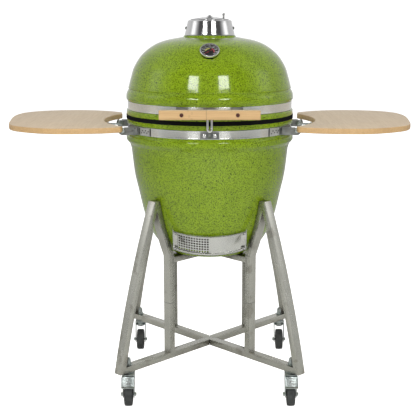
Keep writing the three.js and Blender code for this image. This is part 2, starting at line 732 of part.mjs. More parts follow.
// The bracket between the lid's band and the handle, with the bolt that holds the bar.
function handleBracket(side, boltZ) {
  const back = HANDLE_FRONT_Y + HANDLE_DEPTH;
  const armHalf = { x: 8, z: 5 };
  const armRoot = -PAD_SEAT + 28;
  const [padMiddle, padHalf] = [-90 + 18, 4];
  const pad = ringSector(
    PAD_SEAT, PAD_SEAT + PAD_SHEET, padMiddle - padHalf, padMiddle + padHalf,
    UPPER_BAND_Z + PAD_INSET, UPPER_BAND_Z + BAND_HEIGHT - PAD_INSET,
  );
  const arm = box(
    HANDLE_BOLT_X - armHalf.x, HANDLE_BOLT_X + armHalf.x, back + GAP, armRoot,
    boltZ - armHalf.z, boltZ + armHalf.z,
  );
  const at = (y) => [HANDLE_BOLT_X, y, boltZ];
  const bolt = rod(at(HANDLE_FRONT_Y + 3), at(back + 2), HANDLE_BOLT_RADIUS);
  const head = rod(at(HANDLE_FRONT_Y + 1.5), at(HANDLE_FRONT_Y + 5.7), HANDLE_BOLT_RADIUS * 2 - 0.5);
  const shapes = [pad, arm, bolt, head].map((shape) => solidOf(shape.scale(side, 1, 1)));
  return cut(join(...shapes), bandCore(UPPER_BAND_Z));
}

function buildLatch(group) {
  const lugHalf = { x: LATCH_HALF_WIDTH - LATCH_WIRE - 0.6, z: LATCH_WIRE + 3.5 };
  const padHalf = 4;
  const padTop = UPPER_BAND_Z + 22;
  const hangerPad = ringSector(
    PAD_SEAT, PAD_SEAT + PAD_SHEET, -90 - padHalf, -90 + padHalf, UPPER_BAND_Z + PAD_INSET, padTop, 4,
  );
  const lug = box(
    -lugHalf.x, lugHalf.x, LATCH_Y - lugHalf.z, -PAD_SEAT, LATCH_Z - lugHalf.z, LATCH_Z + lugHalf.z,
  );
  const lugHole = rod([-20, LATCH_Y, LATCH_Z], [20, LATCH_Y, LATCH_Z], LATCH_WIRE + RUNNING_GAP);
  const hanger = cut(
    join(solidOf(hangerPad), solidOf(lug)),
    bandCore(UPPER_BAND_Z),
    solidOf(lugHole),
  );
  node(group, 'latch_hanger', hanger, darkSteel);

  const bottom = LATCH_Z - LATCH_DROP;
  const reach = LATCH_HALF_WIDTH + LATCH_WIRE;
  const wire = (x0, z0, x1, z1, facets) => solidOf(
    rod([x0, LATCH_Y, z0], [x1, LATCH_Y, z1], LATCH_WIRE, facets),
  );
  const bail = join(
    wire(-reach, LATCH_Z, reach, LATCH_Z, SMALL_FACETS),
    wire(-LATCH_HALF_WIDTH, LATCH_Z, -LATCH_HALF_WIDTH, bottom, 8),
    wire(LATCH_HALF_WIDTH, LATCH_Z, LATCH_HALF_WIDTH, bottom, 8),
    wire(-reach, bottom, reach, bottom, 8),
  );
  node(group, 'latch_bail', bail, brightSteel);
  node(group, 'latch_catch', latchCatch(), darkSteel);
}

// The plate on the pot's band with the horn that the bail hooks under, and its two bolts.
function latchCatch() {
  const z0 = LOWER_BAND_Z + 2;
  const z1 = LOWER_BAND_Z + 22;
  const face = -PAD_SEAT - 1;
  const padHalf = 6;
  const plate = ringSector(PAD_SEAT, PAD_SEAT + PAD_SHEET, -90 - padHalf, -90 + padHalf, z0, z1, 8);
  const horn = polygon(
    [face, z0 + 2], [face - 9, z0 + 8], [face - 11, z0 + 17],
    [face - 8, z0 + 17], [face - 5, z0 + 11], [face, z0 + 11],
  );
  const hornHalfWidth = 4;
  const bolt = { x: 16, z: z0 + 10, root: -262, head: -276, radius: 5 };
  const bolts = [-bolt.x, bolt.x].map(
    (x) => rod([x, bolt.root, bolt.z], [x, bolt.head, bolt.z], bolt.radius, 6),
  );
  return cut(
    join(solidOf(plate), solidOf(sheetAlongX(horn, -hornHalfWidth, hornHalfWidth)), ...bolts.map(solidOf)),
    bandCore(LOWER_BAND_Z),
  );
}

// ---------------------------------------------------------------- thermometer

function dialNormal() {
  const rise = degrees(DIAL_ELEVATION);
  return new THREE.Vector3(0, -Math.cos(rise), Math.sin(rise));
}

// A point on the thermometer's axis, a distance out from the dome's surface.
function dialPoint(distance) {
  return new THREE.Vector3(0, -DIAL_REACH, DIAL_Z).add(dialNormal().multiplyScalar(distance));
}

function buildThermometer() {
  const dial = new THREE.Group();
  dial.position.copy(dialPoint(0));
  dial.rotation.x = degrees(90 - DIAL_ELEVATION);
  const r = DIAL_RADIUS;
  const probeRadius = 3.5;
  const probeEnd = -72;
  const glassRadius = r - 2.9;
  const facets = 20;
  const housing = turned([
    point(0, probeEnd), point(probeRadius, probeEnd), point(probeRadius, 0.5), point(r - 6, 0.5), point(r, 4),
    point(r, 10), point(r - 1.5, 11.5), point(r - 4, 11.5), point(r - 4, 10.4), point(r - 2.4, 10.4),
    point(r - 2.4, 2.5), point(0, 2.5),
  ], facets);
  node(dial, 'thermometer_housing', solidOf(housing), brightSteel);
  const spindleRadius = 1.1;
  const face = rod([0, 0, 2.6], [0, 0, 3.6], glassRadius, facets);
  const spindleHole = rod([0, 0, 2], [0, 0, 5], spindleRadius + GAP);
  node(dial, 'thermometer_face', cut(solidOf(face), solidOf(spindleHole)), dialBlack);
  const pointer = polygon([-1.4, -6], [1.4, -6], [0.5, 20], [-0.5, 20]);
  const needle = join(
    solidOf(rod([0, 0, 2.8], [0, 0, 6], spindleRadius)),
    solidOf(rod([0, 0, 4], [0, 0, 6.2], 2.8)),
    solidOf(raised(pointer, 4.6, 5.4).rotateZ(degrees(NEEDLE_COLD_ANGLE))),
  );
  node(dial, 'thermometer_needle', needle, needleWhite);
  node(dial, 'thermometer_lens', solidOf(rod([0, 0, 8.6], [0, 0, 10], glassRadius, facets)), lensGlass);
  return dial;
}

// ---------------------------------------------------------------- top vent

function ventTopZ(radius) {
  return VENT_TOP_Z + (VENT_TOP_RADIUS - radius) * VENT_SLOPE;
}

function ventWindows() {
  const pitch = 360 / VENT_WINDOWS;
  const halfAngle = 14;
  const [inner, outer] = [22, 54];
  const windows = [];
  for (let i = 0; i < VENT_WINDOWS; i += 1) {
    const middle = pitch * (i + 0.5);
    const [from, to] = [middle - halfAngle, middle + halfAngle];
    windows.push(solidOf(ringSector(inner, outer, from, to, VENT_TOP_Z - 12, VENT_TOP_Z + 20, 2)));
  }
  return windows;
}

function buildVent(group) {
  const seatZ = NECK_TOP_Z + GAP;
  const skirtZ = NECK_TOP_Z - 18;
  const sheet = 2;
  const skirt = NECK_BORE - GAP;
  const footRadius = NECK_RADIUS - 3;
  const shoulderZ = VENT_TOP_Z - 5.5;
  const shoulder = VENT_TOP_RADIUS + 5;
  const hub = 4;
  const facets = 24;
  const body = turned([
    point(skirt, skirtZ), point(skirt, seatZ), point(footRadius, seatZ), point(shoulder, shoulderZ),
    point(shoulder - 1.5, shoulderZ + 4), point(VENT_TOP_RADIUS, VENT_TOP_Z), point(hub, ventTopZ(hub)),
    point(hub, ventTopZ(hub) - sheet), point(VENT_TOP_RADIUS - 0.5, VENT_TOP_Z - sheet),
    point(shoulder - 2.4, shoulderZ), point(footRadius - 2.4, seatZ + sheet),
    point(skirt - sheet, seatZ + sheet), point(skirt - sheet, skirtZ), point(skirt, skirtZ),
  ], facets);
  const screw = { z: 1183, root: 73.5, head: 80, radius: 3.5 };
  const screwAt = (x) => [x, 0, screw.z];
  const screws = [-1, 1].map(
    (side) => rod(screwAt(side * screw.root), screwAt(side * screw.head), screw.radius),
  );
  const whole = join(solidOf(body), ...screws.map(solidOf));
  node(group, 'vent_body', cut(whole, ...ventWindows()), ventSteel);

  const lift = 0.5;
  const plate = 1.5;
  const nut = { foot: 9, head: 7, shoulderZ: 1222, topZ: 1224.5 };
  const edge = VENT_DISC_RADIUS;
  const spigotZ = ventTopZ(hub) - 5;
  const under = (radius) => ventTopZ(radius) + lift;
  const disc = turned([
    point(0, spigotZ), point(hub - 0.5, spigotZ), point(hub - 0.5, under(hub)), point(edge, under(edge)),
    point(edge, under(edge) + plate), point(nut.foot, under(nut.foot) + plate),
    point(nut.head, nut.shoulderZ), point(0, nut.topZ),
  ], facets);
  const pinRadius = 2.3;
  const discTop = under(VENT_KNOB_X);
  const knobHole = rod([VENT_KNOB_X, 0, discTop - 5], [VENT_KNOB_X, 0, discTop + 5], pinRadius + GAP);
  node(group, 'vent_disc', cut(solidOf(disc), ...ventWindows(), solidOf(knobHole)), ventSteel);
  const knobTop = 1230;
  const knob = turned([
    point(0, discTop), point(pinRadius, discTop), point(pinRadius, discTop + 2.6), point(4.5, discTop + 2.6),
    point(3.2, discTop + 6), point(3.2, knobTop - 6), point(4.8, knobTop - 4), point(4.8, knobTop - 1),
    point(3, knobTop), point(0, knobTop),
  ], SMALL_FACETS);
  node(group, 'vent_knob', solidOf(knob.translate(VENT_KNOB_X, 0, 0)), brightSteel);
}

// ---------------------------------------------------------------- draft door

function draftFrameMatrix() {
  const tilt = degrees(DRAFT_TILT);
  const turn = new THREE.Matrix4().makeRotationX(tilt);
  const [out, up] = [DRAFT_RADIUS * Math.cos(tilt), DRAFT_RADIUS * Math.sin(tilt)];
  turn.setPosition(0, DRAFT_FRONT_Y + out, DRAFT_MID_Z + up);
  return turn;
}

function draftSector(inner, outer, fromAngle, toAngle, z0, z1, facets = 5) {
  return solidOf(ringSector(inner, outer, -90 + fromAngle, -90 + toAngle, z0, z1, facets));
}

// The bent frame with a channel along each long edge, and the two sliders that run in them.
function buildDraft() {
  const draft = new THREE.Group();
  draft.applyMatrix4(draftFrameMatrix());
  const r = DRAFT_RADIUS;
  const end = DRAFT_HALF_ANGLE;
  const top = DRAFT_HALF_HEIGHT;
  const web = 3;
  const lip = 7;
  const channel = 6.6;
  const windowAngle = SLIDER_ANGLE - 2;
  const windowHalfHeight = 22;
  const plate = cut(
    draftSector(r, r + 1.5, -end, end, -top, top),
    draftSector(r - 5, r + 5, -windowAngle, windowAngle, -windowHalfHeight, windowHalfHeight),
  );
  const rail = (z0, z1, inner) => draftSector(inner, r + channel, -end + 1, end - 1, z0, z1);
  const lipInner = r + channel - DRAFT_SHEET;
  const rails = [
    rail(top - web, top, r + 1), rail(top - lip, top, lipInner),
    rail(-top, -top + web, r + 1), rail(-top, -top + lip, lipInner),
  ];
  const screw = { z: top - 11, angle: end - 2, radius: 3.2 };
  const screws = [-1, 1].flatMap((side) => [-screw.z, screw.z].map((z) => {
    const angle = degrees(-90 + side * screw.angle);
    const place = (radius) => [radius * Math.cos(angle), radius * Math.sin(angle), z];
    return solidOf(rod(place(r + 0.5), place(r + 4), screw.radius, 8));
  }));
  node(draft, 'draft_frame', join(plate, ...rails, ...screws), bandSteel);

  const sliderHalfHeight = top - web - 0.8;
  const slider = (inner, from, to) => draftSector(
    inner, inner + DRAFT_SHEET, from, to, -sliderHalfHeight, sliderHalfHeight,
  );
  node(draft, 'draft_door', slider(r + 3.8, 0.5, SLIDER_ANGLE), bandSteel);
  node(draft, 'draft_screen', cut(slider(r + 2, -SLIDER_ANGLE, -0.5), ...screenHoles()), bandSteel);
  return draft;
}

function screenHoles() {
  const [columns, rows] = [5, 3];
  const columnPitch = 4.6;
  const rowPitch = 17;
  const half = { angle: 1.3, height: 5.5 };
  const holes = [];
  for (let column = 0; column < columns; column += 1) {
    const middle = -4 - column * columnPitch;
    for (let row = 0; row < rows; row += 1) {
      const z = (row - (rows - 1) / 2) * rowPitch;
      holes.push(draftSector(
        DRAFT_RADIUS, DRAFT_RADIUS + 6, middle - half.angle, middle + half.angle,
        z - half.height, z + half.height, 1,
      ));
    }
  }
  return holes;
}

// ---------------------------------------------------------------- side shelves

// The board's outline for the right-hand shelf: x runs outward from the pot, y to the rear.
function shelfShape() {
  const frontX = Math.sqrt(SHELF_NOTCH ** 2 - SHELF_FRONT_TIP ** 2);
  const rearX = Math.sqrt(SHELF_NOTCH ** 2 - SHELF_REAR_TIP ** 2);
  const shape = new THREE.Shape();
  shape.moveTo(frontX, -SHELF_FRONT_TIP);
  shape.lineTo(298, -203);
  shape.splineThru([
    point(350, -222), point(430, -227), point(520, -214), point(600, -157), point(641, -87), point(650, 40),
    point(648, 175), point(625, 268), point(570, 326), point(490, 349), point(400, 340), point(330, 302),
    point(292, 262),
  ]);
  shape.lineTo(rearX, 250);
  shape.lineTo(rearX, SHELF_REAR_TIP);
  const from = Math.atan2(SHELF_REAR_TIP, rearX);
  const to = Math.atan2(-SHELF_FRONT_TIP, frontX);
  shape.absarc(0, 0, SHELF_NOTCH, from, to, true);
  return shape;
}

function shelfPivot(y) {
  return [SHELF_PIVOT_REACH, y, SHELF_PIVOT_Z];
}

// A pad on the pot's band and an ear whose open slot carries the arm's pin.
function shelfBracket() {
  const z0 = LOWER_BAND_Z + PAD_INSET;
  const z1 = LOWER_BAND_Z + BAND_HEIGHT - PAD_INSET;
  const root = 226;
  const knob = 14;
  const [padFrom, padTo, padBoltAngle] = [11, 28, 17];
  const [inner, outer] = [BRACKET_OFFSET - BRACKET_SHEET / 2, BRACKET_OFFSET + BRACKET_SHEET / 2];
  const pad = ringSector(PAD_SEAT, PAD_SEAT + BRACKET_SHEET, padFrom, padTo, z0, z1, 3);
  const ear = new THREE.Shape();
  ear.moveTo(root, z0);
  ear.lineTo(SHELF_PIVOT_REACH, SHELF_PIVOT_Z - knob);
  ear.absarc(SHELF_PIVOT_REACH, SHELF_PIVOT_Z, knob, degrees(-90), degrees(50), false);
  ear.lineTo(root, z1);
  const slotHalf = SHELF_PIN_RADIUS + RUNNING_GAP;
  const slot = box(
    SHELF_PIVOT_REACH - slotHalf, SHELF_PIVOT_REACH + slotHalf, inner - 1, outer + 1, SHELF_PIVOT_Z, z1 + 5,
  );
  const boltRadius = 4;
  const boltAt = (x, z) => rod([x, outer - 0.5, z], [x, outer + 3, z], boltRadius, 8);
  const bolts = [boltAt(258, z0 + 10), boltAt(250, z0 + 19)];
  return {
    solids: [pad, sheetAlongY(ear, inner, outer, 4), radialBolt(padBoltAngle, (z0 + z1) / 2), ...bolts],
    tools: [slot, rod(shelfPivot(inner - 1), shelfPivot(outer + 1), slotHalf)],
  };
}

// An arm under the board, with the pin that turns in the bracket's slot.
function shelfArm() {
  const underside = SHELF_TOP_Z - SHELF_THICKNESS - GAP;
  const blade = [BRACKET_OFFSET - 7, BRACKET_OFFSET - 3];
  const barZ = { low: SHELF_PIVOT_Z - 7, high: SHELF_PIVOT_Z - 1 };
  const rise = 338;
  const bar = polygon(
    [SHELF_PIVOT_REACH, barZ.low], [rise + 4, barZ.low], [ARM_END, underside - 5], [ARM_END, underside],
    [rise, underside], [rise - 14, barZ.high], [SHELF_PIVOT_REACH, barZ.high],
  );
  const eyeRadius = 9;
  const pinEnd = BRACKET_OFFSET + BRACKET_SHEET / 2 + 5;
  return [
    sheetAlongY(bar, ...blade),
    rod(shelfPivot(blade[0]), shelfPivot(blade[1]), eyeRadius),
    rod(shelfPivot(blade[0]), shelfPivot(pinEnd), SHELF_PIN_RADIUS),
    rod(shelfPivot(pinEnd - 4.5), shelfPivot(pinEnd), 6.5, 6),
    box(rise, ARM_END, blade[0] - 20, blade[1] - 1, underside - 3, underside),
  ];
}

function buildShelf(side) {
  const shelf = new THREE.Group();
  shelf.rotation.z = degrees(-side * SHELF_SPLAY);
  const label = side < 0 ? 'left' : 'right';
  const board = raised(shelfShape(), SHELF_TOP_Z - SHELF_THICKNESS, SHELF_TOP_Z, 4);
  node(shelf, `shelf_board_${label}`, solidOf(board.scale(side, 1, 1)), bamboo);
  for (const end of [-1, 1]) {
    const place = (geometry) => solidOf(geometry.scale(side, end, 1));
    const endName = end < 0 ? 'front' : 'rear';
    const { solids, tools } = shelfBracket();
    const bracket = cut(join(...solids.map(place)), bandCore(LOWER_BAND_Z), ...tools.map(place));
    node(shelf, `shelf_bracket_${label}_${endName}`, bracket, darkSteel);
    node(shelf, `shelf_arm_${label}_${endName}`, join(...shelfArm().map(place)), zinc);
  }
  return shelf;
}

// ---------------------------------------------------------------- the whole grill

const grill = new THREE.Group();
grill.name = 'kamado_grill';
for (const name of Object.keys(LEG_ANGLES)) {
  grill.add(buildLegFrame(name));
  grill.add(buildCaster(name));
}
grill.add(buildCradle());
buildCeramics(grill);
buildGasketsAndBands(grill);
buildInternals(grill);
buildLidHinge(grill);
buildHandle(grill);
buildLatch(grill);
grill.add(buildThermometer());
buildVent(grill);
grill.add(buildDraft());
grill.add(buildShelf(-1));
grill.add(buildShelf(1));

export default grill;
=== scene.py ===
"""Looks of the kamado grill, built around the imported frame. Lengths are millimetres until a mesh is made."""

import json
import math

import bmesh
import bpy
from mathutils import Matrix, Vector


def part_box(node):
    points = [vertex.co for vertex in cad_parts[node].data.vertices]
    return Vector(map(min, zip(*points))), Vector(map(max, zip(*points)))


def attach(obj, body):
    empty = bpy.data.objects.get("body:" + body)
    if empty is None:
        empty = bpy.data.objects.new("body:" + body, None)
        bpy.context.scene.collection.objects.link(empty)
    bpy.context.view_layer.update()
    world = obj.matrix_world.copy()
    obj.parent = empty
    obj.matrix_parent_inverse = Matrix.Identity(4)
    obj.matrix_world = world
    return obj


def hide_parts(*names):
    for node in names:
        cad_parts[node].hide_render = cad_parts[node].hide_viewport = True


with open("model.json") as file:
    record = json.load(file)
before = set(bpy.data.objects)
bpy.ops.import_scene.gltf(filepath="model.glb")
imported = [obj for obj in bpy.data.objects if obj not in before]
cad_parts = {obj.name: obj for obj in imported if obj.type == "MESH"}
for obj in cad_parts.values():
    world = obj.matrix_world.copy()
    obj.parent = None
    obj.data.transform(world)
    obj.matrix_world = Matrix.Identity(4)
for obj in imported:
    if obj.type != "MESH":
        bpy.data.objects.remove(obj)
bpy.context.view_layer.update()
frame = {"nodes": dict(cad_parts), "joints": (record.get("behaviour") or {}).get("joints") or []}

MM = 0.001
ROUND = 128                    # facets around the ceramic and the bands
LEGS = {"front_left": 225, "front_right": -45, "rear_left": 135, "rear_right": 45}


SIDES = ((-1, "left"), (1, "right"))


def node_mm(node):
    """Lowest and highest corner of a CAD node, in millimetres."""
    low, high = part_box(node)
    return low / MM, high / MM


def joint_called(name):
    return next(joint for joint in frame["joints"] if joint["name"] == name)


# ---- material helpers


class Graph:
    """A node tree with short calls for the nodes that the materials and the world share."""

    def __init__(self, tree):
        self.tree = tree

    def add(self, kind, **values):
        made = self.tree.nodes.new(kind)
        for key, value in values.items():
            if key in made.inputs:
                made.inputs[key].default_value = value
            else:
                setattr(made, key, value)
        return made

    def link(self, source, target):
        self.tree.links.new(source, target)

    def feed(self, value, socket):
        """Links another socket, or sets a number or an RGB colour."""
        if isinstance(value, bpy.types.NodeSocket):
            self.link(value, socket)
        elif isinstance(value, tuple):
            socket.default_value = (*value, 1.0)
        else:
            socket.default_value = value

    def split(self, vector):
        made = self.add("ShaderNodeSeparateXYZ")
        self.link(vector, made.inputs[0])
        return tuple(made.outputs)

    def math(self, operation, *values):
        made = self.add("ShaderNodeMath", operation=operation)
        for value, socket in zip(values, made.inputs):
            self.feed(value, socket)
        return made.outputs[0]

    def mix(self, share, first, second, mode="MIX"):
        made = self.add("ShaderNodeMix", data_type="RGBA", blend_type=mode)
        self.feed(share, made.inputs[0])
        self.feed(first, made.inputs[6])
        self.feed(second, made.inputs[7])
        return made.outputs[2]

    def ramp(self, source, *stops):
        """Blends between stops (position, RGB colour). A number stands for a grey."""
        made = self.add("ShaderNodeValToRGB")
        points = made.color_ramp.elements
        while len(points) < len(stops):
            points.new(0.5)
        for element, (position, colour) in zip(points, stops):
            element.position = position
            element.color = (*colour, 1.0) if isinstance(colour, tuple) else (colour, colour, colour, 1.0)
        self.link(source, made.inputs["Fac"])
        return made.outputs["Color"]


class Finish(Graph):
    """A material: a graph with the object's coordinates and a Principled shader."""

    def __init__(self, name):
        self.material = bpy.data.materials.new(name)
        self.material.use_nodes = True
        super().__init__(self.material.node_tree)
        self.shader = self.tree.nodes["Principled BSDF"]
        coordinates = self.add("ShaderNodeTexCoord").outputs
        self.place = coordinates["Object"]
        self.facing = coordinates["Normal"]

    def set(self, **values):
        for key, value in values.items():
            self.shader.inputs[key.replace("_", " ")].default_value = value

    def colour(self, socket):
        self.link(socket, self.shader.inputs["Base Color"])

    def roughness(self, socket):
        self.link(socket, self.shader.inputs["Roughness"])

    def noise(self, scale, detail=3.0, place=None, roughness=0.5):
        made = self.add("ShaderNodeTexNoise", Scale=scale, Detail=detail, Roughness=roughness)
        self.link(place or self.place, made.inputs["Vector"])
        return made.outputs["Fac"]

    def cells(self, scale):
        made = self.add("ShaderNodeTexVoronoi", Scale=scale)
        self.link(self.place, made.inputs["Vector"])
        return made.outputs["Distance"]

    def range(self, source, low, high):
        made = self.add("ShaderNodeMapRange", **{"To Min": low, "To Max": high})
        self.link(source, made.inputs["Value"])
        return made.outputs[0]

    def stretched(self, scale):
        made = self.add("ShaderNodeMapping", Scale=scale)
        self.link(self.place, made.inputs["Vector"])
        return made.outputs[0]

    def polar(self, angle_scale, height_scale):
        """Coordinates that run around Z and up it, for marks that follow a turned part."""
        x, y, z = self.split(self.place)
        joined = self.add("ShaderNodeCombineXYZ")
        self.link(self.math("MULTIPLY", self.math("ARCTAN2", y, x), angle_scale), joined.inputs[0])
        self.link(self.math("MULTIPLY", z, height_scale), joined.inputs[1])
        return joined.outputs[0]

    def bump(self, height, strength, distance):
        made = self.add("ShaderNodeBump", Strength=strength, Distance=distance)
        self.link(height, made.inputs["Height"])
        self.link(made.outputs[0], self.shader.inputs["Normal"])

    def occlusion_shade(self, colour, shade, distance, share):
        """Painted shade: darkens a colour towards a shade colour wherever other surfaces stand close."""
        near = self.add("ShaderNodeAmbientOcclusion", Distance=distance, samples=6)
        closed = self.ramp(near.outputs["AO"], (0.35, 1), (0.8, 0))
        return self.mix(self.math("MULTIPLY", closed, share), colour, shade)

    def inward(self, port_top):
        """1 where a turned part faces its own Z axis, or faces up below port_top; 0 on its outside."""
        x, y, z = self.split(self.place)
        facing_x, facing_y, facing_z = self.split(self.facing)
        outward = self.math("MULTIPLY_ADD", x, facing_x, self.math("MULTIPLY", y, facing_y))
        faces_axis = self.math("LESS_THAN", outward, -0.002)
        faces_up = self.math("GREATER_THAN", facing_z, 0.1)
        low_down = self.math("LESS_THAN", z, port_top)
        return self.math("MAXIMUM", faces_axis, self.math("MULTIPLY", faces_up, low_down))


def bare_clay(g):
    """The pale unglazed ceramic, darkened by painted shade wherever other surfaces stand close."""
    clay = g.ramp(g.noise(60, 6), (0.3, (0.42, 0.34, 0.25)), (0.7, (0.6, 0.51, 0.4)))
    # painted shade wherever other surfaces stand close
    return g.occlusion_shade(clay, (0.03, 0.025, 0.02), 0.14, 0.85)


def glaze_material():
    """Speckled green glaze on the outside of a turned part, and bare clay on its inside."""
    g = Finish("green_glaze")
    cloud = g.ramp(g.noise(14, 4), (0.35, (0.195, 0.32, 0.003)), (0.62, (0.235, 0.37, 0.006)))
    mottle = g.ramp(g.noise(430, 2, roughness=0.6), (0.42, 0), (0.58, 1))
    base = g.mix(g.range(mottle, 0.0, 0.6), cloud, (0.36, 0.5, 0.03))
    dark = g.ramp(g.noise(395, 1), (0.395, 1), (0.44, 0))
    with_dark = g.mix(g.math("MULTIPLY", dark, 0.97), base, (0.015, 0.035, 0.001))
    light = g.ramp(g.cells(360), (0.1, 1), (0.22, 0))
    glaze = g.mix(g.math("MULTIPLY", light, 0.45), with_dark, (0.5, 0.62, 0.12))
    inside = g.inward(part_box("draft_frame")[1][2])
    g.colour(g.mix(inside, glaze, bare_clay(g)))
    g.roughness(g.range(inside, 0.12, 0.92))
    g.link(g.range(inside, 0.4, 0.0), g.shader.inputs["Coat Weight"])
    g.set(Coat_Roughness=0.03, IOR=1.45, Specular_IOR_Level=0.3)
    g.bump(g.noise(45, 2), 0.08, 0.0015)
    return g.material


def fireclay_material():
    g = Finish("fireclay")
    g.colour(bare_clay(g))
    g.set(Roughness=0.92)
    g.bump(g.noise(400, 4), 0.3, 0.001)
    return g.material


def felt_material():
    g = Finish("gasket_felt")
    fibre = g.noise(900, 6, g.stretched((1, 1, 3)))
    g.colour(g.ramp(fibre, (0.3, (0.003, 0.003, 0.003)), (0.75, (0.014, 0.014, 0.012))))
    g.set(Roughness=1.0, Specular_IOR_Level=0.1)
    g.bump(fibre, 0.6, 0.001)
    return g.material


def band_material():
    """Steel brushed around Z: its reflections spread up and down, and stay crisp sideways."""
    g = Finish("band_steel")
    grain = g.noise(1.0, 4, g.polar(6, 1800))
    patch = g.noise(7, 3)
    g.colour(g.ramp(patch, (0.3, (0.72, 0.73, 0.69)), (0.7, (0.84, 0.85, 0.81))))
    g.roughness(g.range(grain, 0.24, 0.29))
    g.set(Metallic=1.0, Anisotropic=1.0, Anisotropic_Rotation=0.25)
    around = g.add("ShaderNodeTangent", direction_type="RADIAL", axis="Z")
    g.link(around.outputs[0], g.shader.inputs["Tangent"])
    g.bump(grain, 0.015, 0.0004)
    return g.material


def plain_metal(name, low, high, rough, grain_scale=500):
    """Sheet or plated metal: a patchy tone, uneven roughness and a fine surface grain."""
    g = Finish(name)
    g.colour(g.ramp(g.noise(25, 5), (0.3, low), (0.7, high)))
    grain = g.noise(grain_scale, 4)
    g.roughness(g.range(grain, *rough))
    g.set(Metallic=1.0)
    g.bump(grain, 0.05, 0.0005)
    return g.material


def cart_material():
    """Brushed tube with faint stains, painted shade wherever other parts stand near, and deeper painted shade
    where the tubes meet.
    """
    g = Finish("cart_steel")
    streak = g.noise(120, 5, g.stretched((1, 1, 0.06)))
    cross = g.noise(120, 5, g.stretched((0.08, 0.08, 1)))
    both = g.math("MULTIPLY", streak, cross)
    tone = g.ramp(g.noise(9, 4), (0.3, (0.46, 0.46, 0.41)), (0.7, (0.6, 0.6, 0.54)))
    stain = g.ramp(g.noise(16, 3), (0.6, 0), (0.66, 1))
    clean = g.mix(g.range(both, 0.0, 0.3), tone, (0.7, 0.7, 0.65))
    stained = g.mix(g.math("MULTIPLY", stain, 0.4), clean, (0.2, 0.18, 0.14))
    # Painted shade: darker where the pot and the other tubes stand near, darker still where the tubes meet.
    shaded = g.occlusion_shade(stained, (0.16, 0.15, 0.12), 0.4, 0.6)
    g.colour(g.occlusion_shade(shaded, (0.07, 0.06, 0.045), 0.035, 0.85))
    g.roughness(g.range(both, 0.2, 0.4))
    g.set(Metallic=0.88)
    g.bump(both, 0.04, 0.0004)
    return g.material


def bamboo_material(name, along, strip, contrast, joint=None):
    """Laminated strips along X or Y: long fibres, darker nodes, thin glue lines and warmer edges."""
    g = Finish(name)
    x, y, z = g.split(g.place)
    length, across, stretch = (x, z, (0.05, 1, 1)) if along == "X" else (y, x, (1, 0.05, 1))
    node_pitch = 0.27
    lane = g.math("DIVIDE", across, strip)
    strip_noise = g.add("ShaderNodeTexWhiteNoise", noise_dimensions="1D")
    g.link(g.math("FLOOR", lane), strip_noise.inputs["W"])
    tone = strip_noise.outputs["Value"]
    fibre = g.noise(260, 5, g.stretched(stretch))
    upward = g.ramp(g.split(g.facing)[2], (0.55, 0), (0.95, 1))
    light = g.mix(upward, (0.73, 0.48, 0.23), (0.8, 0.63, 0.43))
    dark = g.mix(upward, (0.54, 0.32, 0.13), (0.62, 0.46, 0.29))
    wood = g.mix(g.math("MULTIPLY", tone, contrast), light, dark)
    wood = g.mix(g.range(g.ramp(fibre, (0.4, 0), (0.7, 1)), 0.0, 0.4), wood, dark)
    along_nodes = g.math("ADD", g.math("DIVIDE", length, node_pitch), g.math("MULTIPLY", tone, 7.3))
    knuckle = g.math("COMPARE", g.math("FRACT", along_nodes), 0.5, 0.012)
    wood = g.mix(g.math("MULTIPLY", knuckle, contrast * 0.5), wood, (0.3, 0.18, 0.08))
    glue = g.math("COMPARE", g.math("FRACT", lane), 0.0, 0.025)
    wood = g.mix(g.math("MULTIPLY", glue, contrast * 0.7), wood, (0.28, 0.17, 0.08))
    if joint is not None:
        line = g.math("COMPARE", length, joint, 0.0009)
        wood = g.mix(g.math("MULTIPLY", line, 0.6), wood, (0.25, 0.14, 0.06))
    g.colour(wood)
    g.roughness(g.range(fibre, 0.4, 0.58))
    g.set(Coat_Weight=0.1, Coat_Roughness=0.3)
    g.bump(fibre, 0.1, 0.0004)
    return g.material


def rubber_material():
    g = Finish("wheel_rubber")
    g.colour(g.ramp(g.noise(70, 5), (0.3, (0.035, 0.037, 0.037)), (0.75, (0.075, 0.08, 0.078))))
    g.roughness(g.range(g.noise(300, 3), 0.5, 0.75))
    g.bump(g.noise(600, 4), 0.25, 0.0005)
    return g.material


def iron_material():
    g = Finish("grate_iron")
    g.colour(g.ramp(g.noise(80, 6), (0.3, (0.02, 0.019, 0.018)), (0.7, (0.07, 0.065, 0.06))))
    g.set(Metallic=0.6, Roughness=0.62)
    g.bump(g.noise(350, 5), 0.5, 0.001)
    return g.material


def painted(name, low, high, roughness=0.5):
    g = Finish(name)
    g.colour(g.ramp(g.noise(300, 4), (0.3, low), (0.7, high)))
    g.set(Roughness=roughness)
    g.bump(g.noise(900, 3), 0.1, 0.0002)
    return g.material


def lens_material():
    g = Finish("lens_glass")
    g.set(Transmission_Weight=1.0, IOR=1.1, Alpha=0.1)
    g.roughness(g.range(g.noise(40, 2), 0.01, 0.04))
    return g.material


GLAZE = glaze_material()
FIRECLAY = fireclay_material()
FELT = felt_material()
BAND = band_material()
VENT = plain_metal("vent_steel", (0.72, 0.72, 0.72), (0.84, 0.84, 0.84), (0.06, 0.2), 90)
CART = cart_material()
BRACKET = plain_metal("bracket_steel", (0.2, 0.21, 0.2), (0.34, 0.35, 0.33), (0.3, 0.5))
CLIP = plain_metal("clip_steel", (0.7, 0.71, 0.68), (0.84, 0.85, 0.82), (0.45, 0.6))
BRIGHT = plain_metal("bright_steel", (0.74, 0.74, 0.72), (0.86, 0.86, 0.84), (0.12, 0.26))
ZINC = plain_metal("zinc_plate", (0.37, 0.41, 0.4), (0.6, 0.65, 0.63), (0.22, 0.45), 160)
BAMBOO_X = bamboo_material("bamboo_handle", "X", 0.009, 0.35, -0.01)
BAMBOO_Y = bamboo_material("bamboo_board", "Y", 0.021, 0.22)
RUBBER = rubber_material()
IRON = iron_material()
